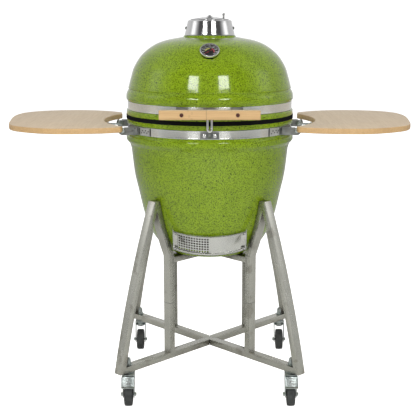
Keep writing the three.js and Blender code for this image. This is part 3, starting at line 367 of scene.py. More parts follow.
BOLT_BROWN = painted("bolt_brown", (0.05, 0.012, 0.008), (0.12, 0.03, 0.02), 0.45)
DIAL_BLACK = painted("dial_black", (0.012, 0.012, 0.012), (0.022, 0.022, 0.022))
DIAL_WHITE = painted("needle_white", (0.78, 0.78, 0.75), (0.88, 0.88, 0.85))
DIAL_YELLOW = painted("dial_yellow", (0.62, 0.6, 0.12), (0.75, 0.72, 0.2))
DIAL_RED = painted("dial_red", (0.5, 0.04, 0.06), (0.62, 0.08, 0.1))
# A black that stands in for shade: in dimples, in the band's seams and on the walls of the screen's holes.
SHADOW_BLACK = painted("painted_shadow_black", (0.01, 0.01, 0.01), (0.02, 0.02, 0.02), 0.9)
LENS = lens_material()


# ---- mesh helpers


def shifted(x, y, z):
    """A move by millimetres."""
    return Matrix.Translation(Vector((x, y, z)) * MM)


def turned(degrees, axis):
    return Matrix.Rotation(math.radians(degrees), 4, axis)


def leaning(joint_name):
    """The axes of a part that turns about a joint leaning forward from upright."""
    joint = joint_called(joint_name)
    lean = math.atan2(-joint["axis"][1], joint["axis"][2])
    return Matrix.Translation(Vector(joint["pos_m"])) @ Matrix.Rotation(lean, 4, "X")


def circle_points(radius, count):
    angles = [2 * math.pi * i / count for i in range(count)]
    return [(radius * math.cos(angle), radius * math.sin(angle)) for angle in angles]


def rectangle(x0, y0, x1, y1):
    return [(x0, y0), (x1, y0), (x1, y1), (x0, y1)]


def sector(inner, outer, start, end, steps=12):
    """Outline of part of a ring, angles in degrees from +X."""
    def arc(radius, first, last):
        angles = [math.radians(first + (last - first) * i / steps) for i in range(steps + 1)]
        return [(radius * math.cos(angle), radius * math.sin(angle)) for angle in angles]
    return arc(outer, start, end) + arc(inner, end, start)


def placed(name, data):
    """A new object in the scene."""
    made = bpy.data.objects.new(name, data)
    bpy.context.scene.collection.objects.link(made)
    return made


def make_object(name, bm, material, sharp=35):
    """An object from a bmesh, smooth except across edges sharper than the given angle."""
    bmesh.ops.recalc_face_normals(bm, faces=bm.faces)
    mesh = bpy.data.meshes.new(name)
    bm.to_mesh(mesh)
    bm.free()
    mesh.materials.append(material)
    mesh.shade_smooth()
    mesh.set_sharp_from_angle(angle=math.radians(sharp))
    return placed(name, mesh)


def spline(points, steps):
    """A Catmull-Rom curve through every point."""
    padded = [points[0], *points, points[-1]]
    out = []
    for i in range(len(points) - 1):
        p0, p1, p2, p3 = (Vector(p) for p in padded[i:i + 4])
        for k in range(steps):
            t = k / steps
            v0, v1 = (p2 - p0) * 0.5, (p3 - p1) * 0.5
            cubic = 2 * p1 - 2 * p2 + v0 + v1
            square = -3 * p1 + 3 * p2 - 2 * v0 - v1
            out.append(tuple(cubic * t ** 3 + square * t ** 2 + v0 * t + p1))
    return [*out, tuple(points[-1])]


def rounded(corners, closed=True, steps=4):
    """Replaces each corner (x, y, radius) by an arc. A corner with no radius stays sharp."""
    out = []
    count = len(corners)
    for i, corner in enumerate(corners):
        here = Vector(corner[:2])
        radius = corner[2] if len(corner) > 2 else 0
        at_end = not closed and i in (0, count - 1)
        if radius == 0 or at_end:
            out.append(tuple(here))
            continue
        before = Vector(corners[i - 1][:2]) - here
        after = Vector(corners[(i + 1) % count][:2]) - here
        half = before.angle(after) / 2
        if half > math.radians(89):
            out.append(tuple(here))
            continue
        reach = min(radius / math.tan(half), before.length * 0.49, after.length * 0.49)
        start = here + before.normalized() * reach
        end = here + after.normalized() * reach
        for k in range(steps + 1):
            t = k / steps
            out.append(tuple(start * (1 - t) ** 2 + here * 2 * t * (1 - t) + end * t ** 2))
    return out


def bridge(bm, rings, closed):
    """Skins each ring of vertices to the next, and the last to the first when closed."""
    for lower, upper in zip(rings, [*rings[1:], rings[0]] if closed else rings[1:]):
        for i in range(len(lower)):
            k = (i + 1) % len(lower)
            corners = list(dict.fromkeys((lower[i], lower[k], upper[k], upper[i])))
            if len(corners) > 2:
                bm.faces.new(corners)


def lathe(name, profile, material, segments=ROUND, closed=True, matrix=None, sharp=35):
    """Turns (radius, height) points about Z. A closed profile is a ring, an open one ends on the axis."""
    bm = bmesh.new()
    columns = circle_points(1, segments)
    rings = []
    for radius, height in profile:
        if radius < 1e-6:
            rings.append([bm.verts.new((0, 0, height * MM))] * segments)
        else:
            reach = radius * MM
            rings.append([bm.verts.new((reach * c, reach * s, height * MM)) for c, s in columns])
    bridge(bm, rings, closed)
    if matrix:
        bm.transform(matrix)
    return make_object(name, bm, material, sharp)


def prism(name, outline, z0, z1, material, bevel=0.0, matrix=None, segments=3, sharp=35):
    """An outline in XY raised from z0 to z1, with its top and bottom edges rounded."""
    bm = bmesh.new()
    low = [bm.verts.new((x * MM, y * MM, z0 * MM)) for x, y in outline]
    high = [bm.verts.new((x * MM, y * MM, z1 * MM)) for x, y in outline]
    bottom = bm.faces.new(low)
    top = bm.faces.new(high)
    bridge(bm, [low, high], closed=False)
    bmesh.ops.recalc_face_normals(bm, faces=bm.faces)
    if bevel:
        edges = [*bottom.edges, *top.edges]
        bmesh.ops.bevel(bm, geom=edges, offset=bevel * MM, segments=segments, affect="EDGES", profile=0.5)
    if matrix:
        bm.transform(matrix)
    return make_object(name, bm, material, sharp)


def tube(name, path, radius, material, sides=12, closed=False):
    """A round wire along a path of points."""
    bm = bmesh.new()
    points = [Vector(p) * MM for p in path]
    count = len(points)
    rings = []
    normal = None
    for i, here in enumerate(points):
        ahead = points[(i + 1) % count] if closed or i < count - 1 else here
        behind = points[i - 1] if closed or i > 0 else here
        along = (ahead - behind).normalized()
        if normal is None:
            normal = along.orthogonal().normalized()
        normal = (normal - along * normal.dot(along)).normalized()
        side = along.cross(normal)
        offsets = [(normal * c + side * s) * MM for c, s in circle_points(radius, sides)]
        rings.append([bm.verts.new(here + offset) for offset in offsets])
    bridge(bm, rings, closed)
    if not closed:
        bm.faces.new(rings[0])
        bm.faces.new(rings[-1])
    return make_object(name, bm, material, 60)


def refined(name, node, body, material, bevel, segments=2):
    """Stands for a CAD node with a copy whose flat faces are merged and sharp edges rounded."""
    bm = bmesh.new()
    bm.from_mesh(frame["nodes"][node].data)
    bmesh.ops.remove_doubles(bm, verts=bm.verts, dist=2e-6)
    bmesh.ops.dissolve_limit(bm, angle_limit=math.radians(1), verts=bm.verts, edges=bm.edges)
    corner = math.radians(38)
    sharp = [edge for edge in bm.edges if len(edge.link_faces) == 2 and edge.calc_face_angle(0) > corner]
    rounding = {"offset": bevel * MM, "segments": segments, "profile": 0.5, "affect": "EDGES"}
    bmesh.ops.bevel(bm, geom=sharp, clamp_overlap=True, **rounding)
    rides(make_object(name, bm, material, 32), body, node)


def cut(piece, cutter):
    """Takes the cutter's shape out of the piece, and removes the cutter."""
    modifier = piece.modifiers.new("cut", "BOOLEAN")
    modifier.operation = "DIFFERENCE"
    modifier.object = cutter
    modifier.solver = "EXACT"
    bpy.context.view_layer.update()
    result = bpy.data.meshes.new_from_object(piece.evaluated_get(bpy.context.evaluated_depsgraph_get()))
    piece.modifiers.clear()
    piece.data = result
    result.set_sharp_from_angle(angle=math.radians(35))
    bpy.data.objects.remove(cutter)
    return piece


def joined(name, pieces):
    """Several meshes of one material as one piece."""
    bm = bmesh.new()
    for piece in pieces:
        bm.from_mesh(piece.data)
        material = piece.data.materials[0]
    for piece in pieces:
        bpy.data.objects.remove(piece)
    return make_object(name, bm, material)


def rides(piece, body, node=None):
    """Puts a piece on its body, and hides the CAD node it stands for."""
    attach(piece, body)
    finish = piece.data.materials[0].name.split(".")[0]
    if node:
        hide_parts(node)


# ---- ceramic

POT_LOW, POT_HIGH = node_mm("base_pot")
LID_LOW, LID_HIGH = node_mm("lid_dome")
POT_BAND_LOW, POT_BAND_HIGH = node_mm("pot_band")
LID_BAND_LOW, LID_BAND_HIGH = node_mm("lid_band")
RIM = 272.0                    # radius of the ceramic where pot and dome meet
WALL = 25.0
BULGE = POT_HIGH.x
SEAT = POT_BAND_HIGH.x - 1.8   # radius of the ceramic under the bands
BAND_GAP = 0.3                 # between a band's edge and its groove
PORT_HALF_WIDTH = 100
PORT_HALF_HEIGHT = 30


def rolled(outer, height, radius, last, step):
    """The rounded top of a bulge, from upright to the last angle in degrees."""
    angles = [math.radians(degrees) for degrees in range(0, last + 1, step)]
    return [(outer - radius * (1 - math.cos(a)), height + radius * math.sin(a)) for a in angles]


def build_pot():
    rim = POT_HIGH.z
    band_low, band_high = POT_BAND_LOW.z - BAND_GAP, POT_BAND_HIGH.z + BAND_GAP
    flank = spline([(258, 797), (249, 716), (236, 655), (217, 573), (195, 518), (163, 470)], 8)
    inside = spline([(RIM - WALL, 830), (232, 765), (211, 655), (191, 573), (164, 514), (140, 486)], 5)
    shell = [
        (0, POT_LOW.z), (142, POT_LOW.z, 10), *reversed(flank), (263, 814, 10), (BULGE, 827, 7),
        *rolled(BULGE, band_low - 17, 20, 50, 10), (SEAT, band_low), (SEAT, band_high),
        (RIM, band_high + 2, 3), (RIM, rim, 3), (RIM - WALL, rim, 3), *inside, (132, 480), (0, 480),
    ]
    pot = lathe("pot", rounded(shell, closed=False, steps=5), GLAZE, closed=False, sharp=50)
    port = rectangle(-PORT_HALF_WIDTH, -PORT_HALF_HEIGHT, PORT_HALF_WIDTH, PORT_HALF_HEIGHT)
    opening = prism("opening", port, 120, 280, GLAZE)
    opening.data.transform(leaning("door_slide") @ turned(90, "X"))
    rides(cut(pot, opening), "stand", "base_pot")


def build_dome():
    rim, top = LID_LOW.z, LID_HIGH.z
    band_low, band_high = LID_BAND_LOW.z - BAND_GAP, LID_BAND_HIGH.z + BAND_GAP
    bulge = BULGE - 1.3
    neck, bore = 84, 58
    crown = spline([
        (265.5, 993), (257, 1025), (245, 1061), (219.6, 1099), (183, 1128), (145, 1143.6), (98, 1153),
    ], 8)
    inside = spline([(70, 1131), (120, 1124), (178, 1099), (220, 1052), (242, 985)], 5)
    shell = [
        (RIM - WALL, rim, 3), (RIM, rim, 3), (RIM, band_low - 2, 3), (SEAT, band_low), (SEAT, band_high),
        (bulge, band_high + 7, 6), *rolled(bulge, 966, 36, 42, 7), *crown, (neck + 4, 1154.6, 1),
        (neck, 1156, 1), (neck, top, 2.5), (bore, top, 2.5), (bore, 1133, 3), *inside,
    ]
    dome = lathe("dome", rounded(shell, steps=5), GLAZE, sharp=50)
    rides(dome, "lid", "lid_dome")


def build_gaskets():
    """Two felt rings, each squeezed out a little over the edge of its rim."""
    inner = 249
    rings = (("gasket_pot", "pot_gasket", "stand", -1), ("gasket_lid", "lid_gasket", "lid", 1))
    for name, node, body, side in rings:
        low, high = node_mm(node)
        rim, meeting = (low.z, high.z) if side < 0 else (high.z, low.z)
        skirt = rim + 2.3 * side
        ring = [
            (inner, rim, 0.5), (RIM + 0.3, rim), (RIM + 0.3, skirt), (RIM + 1.3, skirt - 0.3 * side, 0.5),
            (RIM + 1.6, meeting + 0.8 * side, 0.5), (RIM + 0.8, meeting, 0.4), (inner, meeting, 0.5),
        ]
        rides(lathe(name, rounded(ring), FELT, sharp=60), body, node)


def build_bands():
    """Two rolled steel bands, each with a raised hem along both edges."""
    hem = 0.35
    for name, node, body in (("band_pot", "pot_band", "stand"), ("band_lid", "lid_band", "lid")):
        low, high = node_mm(node)
        outer = high.x
        ring = [
            (outer - 1.5, low.z), (outer, low.z, 0.6), (outer, low.z + 3, 0.5),
            (outer - hem, low.z + 4, 0.5), (outer - hem, high.z - 4, 0.5),
            (outer, high.z - 3, 0.5), (outer, high.z, 0.6), (outer - 1.5, high.z),
        ]
        rides(lathe(name, rounded(ring), BAND, 192, sharp=50), body, node)


def build_band_clips():
    """The stamped joints of the pot's band, either side of the front, each with spot-weld dimples drawn as
    black plugs of painted shade, and a black strip of painted shade at the band's seam.
    """
    outer = POT_BAND_HIGH.x
    root = outer - 0.2
    low, high = POT_BAND_LOW.z + 2.5, POT_BAND_HIGH.z - 2.5
    front = -90
    clip_at, clip_half = 49, 5.2
    seam_at, seam_half = 43.3, 0.4
    dimple_profile = [(0, 0), (2.3, 0), (2.1, 0.35), (0, 0.2)]
    for side, label in SIDES:
        middle = front + side * clip_at
        outline = sector(root, outer + 1.1, middle - clip_half, middle + clip_half)
        rides(prism(f"band_clip_{label}", outline, low, high, CLIP, 0.4), "stand")
        dimples = []
        for step, share in ((-3.6, 0.3), (-2.1, 0.66), (-0.4, 0.4), (1.2, 0.7), (2.6, 0.34), (3.9, 0.6)):
            place = turned(middle + step, "Z") @ shifted(outer + 1.0, 0, low + (high - low) * share)
            # each dimple is a black plug: painted shade
            dimples.append(lathe("dimple", dimple_profile, SHADOW_BLACK, 12, False, place @ turned(90, "Y")))
        rides(joined(f"band_dimples_{label}", dimples), "stand")
        # the seam's gap is a thin black strip: painted shade
        seam = front + side * seam_at
        outline = sector(root, outer + 0.12, seam - seam_half, seam + seam_half, 2)
        edges = (POT_BAND_LOW.z + 0.3, POT_BAND_HIGH.z - 0.3)
        rides(prism(f"band_seam_{label}", outline, *edges, SHADOW_BLACK), "stand")


# ---- inside the pot


def build_internals():
    refined("fire_bowl", "firebox", "stand", FIRECLAY, 1.5)
    refined("fire_collar", "fire_ring", "stand", FIRECLAY, 1.5)
    refined("coal_grate", "charcoal_grate", "stand", IRON, 0.8)
    low, high = node_mm("cooking_grate")
    rim_wire, bar_wire, cross_wire = 3.4, 2.2, 2.4
    radius = high.x - 3.5
    middle = (low.z + high.z) / 2
    ring = [(x, y, middle) for x, y in circle_points(radius, 96)]
    wires = [tube("rim", ring, rim_wire, IRON, 10, closed=True)]
    pitch = 15
    count = int(radius // pitch)
    for i in range(-count, count + 1):
        x = i * pitch
        reach = math.sqrt(radius ** 2 - x ** 2)
        if reach > 20:
            bar = [(x, -reach, middle + 0.4), (x, reach, middle + 0.4)]
            wires.append(tube("bar", bar, bar_wire, IRON, 8))
    for y in (-95, 0, 95):
        reach = math.sqrt(radius ** 2 - y ** 2)
        wires.append(tube("cross", [(-reach, y, middle - 1), (reach, y, middle - 1)], cross_wire, IRON, 8))
    rides(joined("food_grate", wires), "stand", "cooking_grate")


# ---- vent


VENT_TOP_RADIUS = 66
VENT_SHOULDER_Z = 1208.5
VENT_SLOPE = 0.137             # rise of the vent's shallow cone towards its middle


def vent_top(radius):
    return VENT_SHOULDER_Z + (VENT_TOP_RADIUS - radius) * VENT_SLOPE


def vent_windows():
    """The six openings, as one cutter that reaches through both the cup and the disc."""
    outlines = [sector(22, 54, 60 * i + 16, 60 * i + 44, 6) for i in range(6)]
    return joined("windows", [prism("window", outline, 1190, 1230, VENT) for outline in outlines])


def build_vent():
    low = node_mm("vent_body")[0]
    skirt = 57.7
    shell = [
        (skirt, low.z), (skirt, 1160.3), (81, 1160.3, 1), (80.4, 1164, 1), (71.4, 1201, 3), (70.6, 1206, 2.5),
        (VENT_TOP_RADIUS, VENT_SHOULDER_Z, 1.5), (4, vent_top(4)), (4, vent_top(4) - 2), (65, 1206.3, 1),
        (68.6, 1203, 2), (78.4, 1162.5), (skirt - 2, 1162.5), (skirt - 2, low.z),
    ]
    body = cut(lathe("vent_cup", rounded(shell, steps=5), VENT, 96, sharp=40), vent_windows())
    rides(body, "lid", "vent_body")
    head = [(0, 0), (5, 0), (5, 1.8), (3.6, 4.2), (1.4, 5.2), (0, 5.3)]
    for side, label in SIDES:
        place = shifted(side * 74.6, 0, 1183) @ turned(side * 90, "Y")
        rides(lathe(f"vent_screw_{label}", head, BRACKET, 20, False, place), "lid")
    build_vent_disc()


def build_vent_disc():
    """The turning disc with its centre nut and its knob."""
    edge = 62
    lift = 0.5
    crown = vent_top(4)
    disc = [
        (0, crown - 5), (3.5, crown - 5), (3.5, crown + lift), (edge - 1, vent_top(edge) + lift),
        (edge, vent_top(edge) + lift, 0.6), (edge, vent_top(edge) + lift + 1.5, 0.7),
        (edge - 4, vent_top(edge - 4) + 2.2), (11, vent_top(11) + lift + 1.5), (10, vent_top(10) + 3.4),
        (0, vent_top(8) + 3.4),
    ]
    plate = lathe("vent_daisy", rounded(disc, closed=False), VENT, 96, False, sharp=40)
    rides(cut(plate, vent_windows()), "vent_cap", "vent_disc")
    nut = prism("vent_nut", circle_points(6, 6), 1218, 1222.4, BRIGHT, 0.5)
    rides(nut, "vent_cap")
    tip = [(0, 1222), (4, 1222), (3.4, 1223.6), (1.6, 1224.4), (0, 1224.5)]
    rides(lathe("vent_nut_cap", tip, BRIGHT, 24, False), "vent_cap")

    low, high = node_mm("vent_knob")
    centre = (low + high) / 2
    base = vent_top(45) + lift
    knob = [
        (0, base + 0.2), (2.2, base + 0.2), (2.2, base + 2.6), (4.5, base + 2.6, 0.6), (3.1, base + 6, 1.5),
        (3.1, 1223, 1.5), (4.7, 1225.5, 0.8), (4.7, 1229, 0.8), (3.6, high.z, 0.6), (0, high.z),
    ]
    pin = lathe("vent_pin", rounded(knob, closed=False), BRIGHT, 32, False, shifted(centre.x, centre.y, 0))
    rides(pin, "vent_cap", "vent_knob")


# ---- thermometer


DIAL_START = 215              # degrees from +X where the scale begins, turning clockwise
DIAL_SWEEP = 250
DIAL_STEPS = 8
DIAL_STEP_VALUE = 50
MINOR_TICKS = 5
MARKS_Z = 3.6                 # height of the face, where its marks stand


def dial_angle(share):
    return DIAL_START - DIAL_SWEEP * share


def build_dial_ticks(turn):
    ticks = []
    count = DIAL_STEPS * MINOR_TICKS
    outer = 26.6
    for i in range(count + 1):
        inner, width = (23.6, 1.5) if i % MINOR_TICKS == 0 else (24.8, 0.7)
        bar = rectangle(inner, -width / 2, outer, width / 2)
        place = turn @ turned(dial_angle(i / count), "Z")
        ticks.append(prism("tick", bar, MARKS_Z, MARKS_Z + 0.15, DIAL_WHITE, matrix=place))
    rides(joined("dial_ticks", ticks), "lid")


def build_dial_numbers(turn):
    """Plain numbers around the scale, each a thin raised mesh."""
    radius, height = 19.6, 6.2
    numbers = []
    for i in range(DIAL_STEPS + 1):
        text = bpy.data.curves.new("number", "FONT")
        text.body = str(i * DIAL_STEP_VALUE)
        text.size = height * MM
        text.align_x = text.align_y = "CENTER"
        text.extrude = 0.07 * MM
        holder = placed("number", text)
        bpy.context.view_layer.update()
        mesh = bpy.data.meshes.new_from_object(holder.evaluated_get(bpy.context.evaluated_depsgraph_get()))
        bpy.data.objects.remove(holder)
        angle = math.radians(dial_angle(i / DIAL_STEPS))
        mesh.transform(turn @ shifted(radius * math.cos(angle), radius * math.sin(angle), MARKS_Z + 0.08))
        mesh.materials.append(DIAL_WHITE)
        numbers.append(placed("number", mesh))
    rides(joined("dial_numbers", numbers), "lid")


def build_dial_arcs(turn):
    arcs = (("dial_arc_low", 0.2, 0.5, DIAL_YELLOW), ("dial_arc_high", 0.6, 0.92, DIAL_RED))
    for name, first, last, material in arcs:
        outline = sector(11.6, 14.8, dial_angle(last), dial_angle(first), 24)
        arc = prism(name, outline, MARKS_Z, MARKS_Z + 0.12, material, matrix=turn)
        rides(arc, "lid")


def build_thermometer():
    turn = leaning("needle_turn")
    r = 30
    case = [
        (0, -72), (2.6, -72, 1.5), (3.4, -70, 1), (3.4, 0.5), (r - 6, 0.5, 1), (r, 4, 2), (r, 9.5, 2),
        (r - 1.4, 11.5, 1.6), (r - 4, 11.3, 1.2), (r - 4, 10.4), (r - 2.4, 10.4), (r - 2.4, 2.5), (0, 2.5),
    ]
    housing = lathe("dial_case", rounded(case, closed=False, steps=5), BRIGHT, 72, False, turn, 45)
    rides(housing, "lid", "thermometer_housing")
    # A thin dark felt ring under the case stands in for the shadow line there: painted shade.
    shadow_ring = [(r - 6, -3.5, 0.5), (r - 2, -3.5, 0.5), (r - 1.2, 2.6, 0.5), (r - 6, 0.3, 0.3)]
    rides(lathe("dial_shadow_ring", rounded(shadow_ring), FELT, 64, True, turn), "lid")
    face = [(1.6, 2.7), (27.2, 2.7), (27.2, 3.5, 0.2), (26.9, MARKS_Z), (1.6, MARKS_Z)]
    plate = lathe("dial_face", rounded(face), DIAL_BLACK, 64, True, turn)
    rides(plate, "lid", "thermometer_face")
    build_dial_ticks(turn)
    build_dial_numbers(turn)
    build_dial_arcs(turn)
    lens = [(0, 8.7), (26.9, 8.7, 0.3), (26.9, 9.4, 0.3), (14, 10.0), (0, 10.2)]
    glass = lathe("dial_lens", rounded(lens, closed=False), LENS, 64, False, turn)
    rides(glass, "lid", "thermometer_lens")

    outline = [(-1.0, -6), (1.0, -6), (0.7, 3), (0.3, 19), (-0.3, 19), (-0.7, 3)]
    pointer = prism("pointer", outline, 4.7, 5.3, DIAL_RED, 0.15, turn @ turned(DIAL_START - 90, "Z"))
    rides(pointer, "needle", "thermometer_needle")
    hub = [(0, 2.9), (1.1, 2.9), (1.1, 4.1), (2.8, 4.1), (2.8, 5.6), (1.8, 6.2), (0, 6.3)]
    rides(lathe("pointer_hub", hub, DIAL_BLACK, 32, False, turn), "needle")


# ---- draft door


DRAFT_RADIUS = 215            # inner radius of the curved draft frame
DRAFT_HALF = 37               # half its height, along its own axis
LIP_INNER = DRAFT_RADIUS + 5.4
LIP_OUTER = DRAFT_RADIUS + 6.6


def draft_plate(name, inner, outer, start, end, z0, z1, steps=24):
    """A curved sheet about the draft's axis, angles in degrees from the front."""
    front = -90
    return prism(name, sector(inner, outer, front + start, front + end, steps), z0, z1, BAND)


def on_draft(radius, degrees, height):
    """Axes of a small part that stands outward from the draft's sheets."""
    return turned(degrees - 90, "Z") @ shifted(radius, 0, height) @ turned(90, "Y")


def build_draft():
    """The frame with its two rails and corner ears, the sliding door and the sliding screen."""
    turn = leaning("door_slide")
    r, half = DRAFT_RADIUS, DRAFT_HALF
    rail_end, ear_start = 32, 28
    sheet = draft_plate("sheet", r, r + 1.5, -33, 33, -half, half)
    rails = [cut(sheet, draft_plate("window", r - 5, r + 5, -28.5, 27, -28, 28))]
    web_and_lip = ((half - 3, half, half - 7, half), (-half, 3 - half, -half, 7 - half))
    for low, high, lip_low, lip_high in web_and_lip:
        rails.append(draft_plate("web", r + 1, LIP_OUTER, -rail_end, rail_end, low, high))
        rails.append(draft_plate("lip", LIP_INNER, LIP_OUTER, -rail_end, rail_end, lip_low, lip_high))
    for first, last in ((-rail_end, -ear_start), (ear_start, rail_end)):
        for low, high in ((half - 13, half - 6), (6 - half, 13 - half)):
            rails.append(draft_plate("ear", LIP_INNER, LIP_OUTER, first, last, low, high, 4))
    surround = joined("draft_surround", rails)
    surround.data.transform(turn)
    rides(surround, "stand", "draft_frame")
    build_draft_screws(turn)

    slider_half = half - 3.8
    door = draft_plate("draft_shutter", r + 3.8, r + 5, 0.5, 27, -slider_half, slider_half)
    door.data.transform(turn)
    rides(door, "door_slider", "draft_door")

    screen = draft_plate("draft_grille", r + 2, r + 3.2, -28, 1.2, -slider_half, slider_half)
    punch = [(0, -4), (3.3, -4), (3.3, 4), (0, 4)]
    columns, rows = 12, 6
    column_pitch, row_pitch = 2.25, 9.6
    holes = []
    for column in range(columns):
        for row in range(rows):
            height = (row - (rows - 1) / 2) * row_pitch
            place = on_draft(r + 2.6, -1.6 - column * column_pitch, height)
            # the cut leaves this black on the holes' walls: painted shade
            holes.append(lathe("hole", punch, SHADOW_BLACK, 10, False, place))
    screen = cut(screen, joined("holes", holes))
    screen.data.transform(turn)
    rides(screen, "screen_slider", "draft_screen")


def build_draft_screws(turn):
    screw_at, inset = 30, 7
    head = [(0, 0.4), (3.7, 0.4), (3.3, 1.6), (1.8, 2.2), (0, 2.3)]
    disc = rounded([(0, -0.3), (5.6, -0.3), (5.6, 0.5, 0.3), (0, 0.5)], closed=False)
    screws, washers = [], []
    for side in (-1, 1):
        for height in (inset - DRAFT_HALF, DRAFT_HALF - inset):
            place = turn @ on_draft(LIP_OUTER, side * screw_at, height)
            screws.append(lathe("screw", head, BRIGHT, 20, False, place))
            washers.append(lathe("washer", disc, BRACKET, 24, False, place))
    rides(joined("draft_screws", screws), "stand")
    rides(joined("draft_washers", washers), "stand")


# ---- handle, latch and hinge


def build_handle():
    """A bamboo bar with rounded corners, and a bolt sunk in a recess over each bracket."""
    low, high = node_mm("handle_bar")
    middle_z = (low.z + high.z) / 2
    corner, end_round = 6, 1.5
    bolt_spacing = 83
    section = rounded([(*point, corner) for point in rectangle(low.y, low.z, high.y, high.z)], steps=6)
    across = Matrix(((0, 0, 1, 0), (1, 0, 0, 0), (0, 1, 0, 0), (0, 0, 0, 1)))
    bar = prism("handle_grip", section, low.x, high.x, BAMBOO_X, end_round, across)
    recess = [(0, -6), (6.2, -6), (6.2, 1), (0, 1)]
    head = [(0, -4.6), (5.8, -4.6), (5.8, -1.7), (4.8, -0.9), (2.4, -0.7), (2.2, -1.3), (0, -1.3)]
    for side, label in SIDES:
        place = shifted(side * bolt_spacing, low.y, middle_z) @ turned(90, "X")
        bar = cut(bar, lathe("recess", recess, BAMBOO_X, 40, False, place))
        bolt = lathe(f"handle_bolt_{label}", head, BOLT_BROWN, 32, False, place)
        rides(bolt, "lid")
        refined(f"handle_arm_{label}", f"handle_bracket_{label}", "lid", BRACKET, 0.5)
    rides(bar, "lid", "handle_bar")


def build_latch():
    """A wire loop hanging from the lid's lug, and the keeper on the pot's band."""
    low, high = node_mm("latch_bail")
    wire, half, sides = 3.8, 6.2, 16
    y = (low.y + high.y) / 2
    top, bottom = high.z - 4, low.z + 4
    right = [(half, 13), (half - 0.5, 8.5), (half - 2.2, 4), (half - 4.2, 1.2)]
    bend = [(x, bottom + rise) for x, rise in [*((-x, rise) for x, rise in right), (0, 0), *right[::-1]]]
    legs = spline([(-half, top), *bend, (half, top)], 4)
    loop = tube("wire", [(x, y, z) for x, z in legs], wire, BRIGHT, sides)
    reach = half + 3.8
    pivot = tube("pivot", [(-reach, y, top), (reach, y, top)], wire, BRIGHT, sides)
    rides(joined("latch_loop", [loop, pivot]), "latch", "latch_bail")
    refined("latch_lug", "latch_hanger", "lid", BRACKET, 0.5)
    refined("latch_keeper", "latch_catch", "stand", BRACKET, 0.5)
    low, high = node_mm("latch_catch")
    bolt_spacing, plate_front = 16, -276
    head = [(0, -0.5), (5.6, -0.5), (5.3, 1), (3, 2.2), (0, 2.6)]
    for side, label in SIDES:
        place = shifted(side * bolt_spacing, plate_front, (low.z + high.z) / 2) @ turned(90, "X")
        rides(lathe(f"latch_bolt_{label}", head, BRIGHT, 24, False, place), "stand")


def build_hinge():
    """Both brackets, the pin, and a coil spring on each side of it."""
    refined("hinge_fixed", "hinge_lower_bracket", "stand", BRACKET, 0.5)
    refined("hinge_moving", "hinge_upper_bracket", "lid", BRACKET, 0.5)
    refined("hinge_rod", "hinge_pin", "stand", BRIGHT, 0.4)
    _, y, z = [value / MM for value in joint_called("lid_hinge")["pos_m"]]
    turns, steps, radius, wire = 6, 20, 10, 1.7
    for _, label in SIDES:
        low, high = node_mm(f"hinge_spring_{label}")
        coil = []
        for i in range(turns * steps + 1):
            share = i / (turns * steps)
            angle = 2 * math.pi * turns * share
            x = low.x + wire + (high.x - low.x - 2 * wire) * share
            coil.append((x, y + radius * math.cos(angle), z + radius * math.sin(angle)))
        spring = tube(f"hinge_coil_{label}", coil, wire, BRIGHT, 10)
        rides(spring, "stand", f"hinge_spring_{label}")


# ---- cart and casters


TUBE_HALF = 15                 # half the width of the cart's tubes
UPRIGHT_INNER, UPRIGHT_OUTER = 178, 198
STEM_REACH = 366               # from the centre to each caster's stem


def build_cart():
    """The tubes with softened edges, the beads and seams of their joints, and the plug at the cross."""
    for label in LEGS:
        refined(f"leg_{label}", f"leg_frame_{label}", "stand", CART, 1.8, 3)
    refined("cradle", "pot_cradle", "stand", CART, 1.8, 3)
    welds, seams = [], []
    bead, bead_half, bead_steps = 1.5, 14, 14
    for angle in LEGS.values():
        turn = turned(angle, "Z")
        for reach, height in ((UPRIGHT_INNER, 131), (UPRIGHT_OUTER, 131), (387.6, 131), (178.5, 455)):
            path = []
            for i in range(bead_steps + 1):
                y = -bead_half + 2 * bead_half * i / bead_steps
                path.append((reach + 0.5 * math.sin(y * 1.9), y, height + 0.4 * math.sin(y * 1.3)))
            weld = tube("weld", path, bead, CART, 8)
            weld.data.transform(turn)
            welds.append(weld)
        for height in (460, 300):
            corners = rectangle(UPRIGHT_INNER, -TUBE_HALF, UPRIGHT_OUTER, TUBE_HALF)
            seam = tube("seam", [(x, y, height) for x, y in corners], 0.7, BRACKET, 6, closed=True)
            seam.data.transform(turn)
            seams.append(seam)
    rides(joined("weld_beads", welds), "stand")
    plug = prism("cross_weld", [(-7, 0), (0, -7), (7, 0), (0, 7)], 112, 130.5, BRACKET, 0.5)
    rides(plug, "stand")
    rides(joined("tube_seams", seams), "stand")


def build_casters():
    for label, angle in LEGS.items():
        build_wheel(label)
        build_fork(label)
        build_stem(label, angle)
        if label.startswith("front"):
            build_pedal(label)


def build_wheel(label):
    """A rubber tyre with rounded shoulders on a hub that is dished between rim and bore."""
    low, high = node_mm(f"caster_wheel_{label}")
    across = shifted(*(low + high) / 2) @ turned(90, "Y")
    r = (high.z - low.z) / 2
    tread = rounded([
        (26, -12, 1), (31, -12.8, 2), (r - 1, -12, 6), (r, -3, 10), (r, 3, 10), (r - 1, 12, 6), (31, 12.8, 2),
        (26, 12, 1),
    ], steps=5)
    tyre = lathe(f"tyre_{label}", tread, RUBBER, 56, True, across, 60)
    rides(tyre, f"wheel_{label}", f"caster_wheel_{label}")
    core = rounded([
        (4.4, -13.8, 1), (10.5, -13.8, 1.5), (11.5, -7, 2), (24, -6.5, 2), (26.2, -11.6, 1), (26.2, 11.6, 1),
        (24, 6.5, 2), (11.5, 7, 2), (10.5, 13.8, 1.5), (4.4, 13.8, 1),
    ], steps=3)
    rides(lathe(f"wheel_core_{label}", core, RUBBER, 48, True, across, 45), f"wheel_{label}")


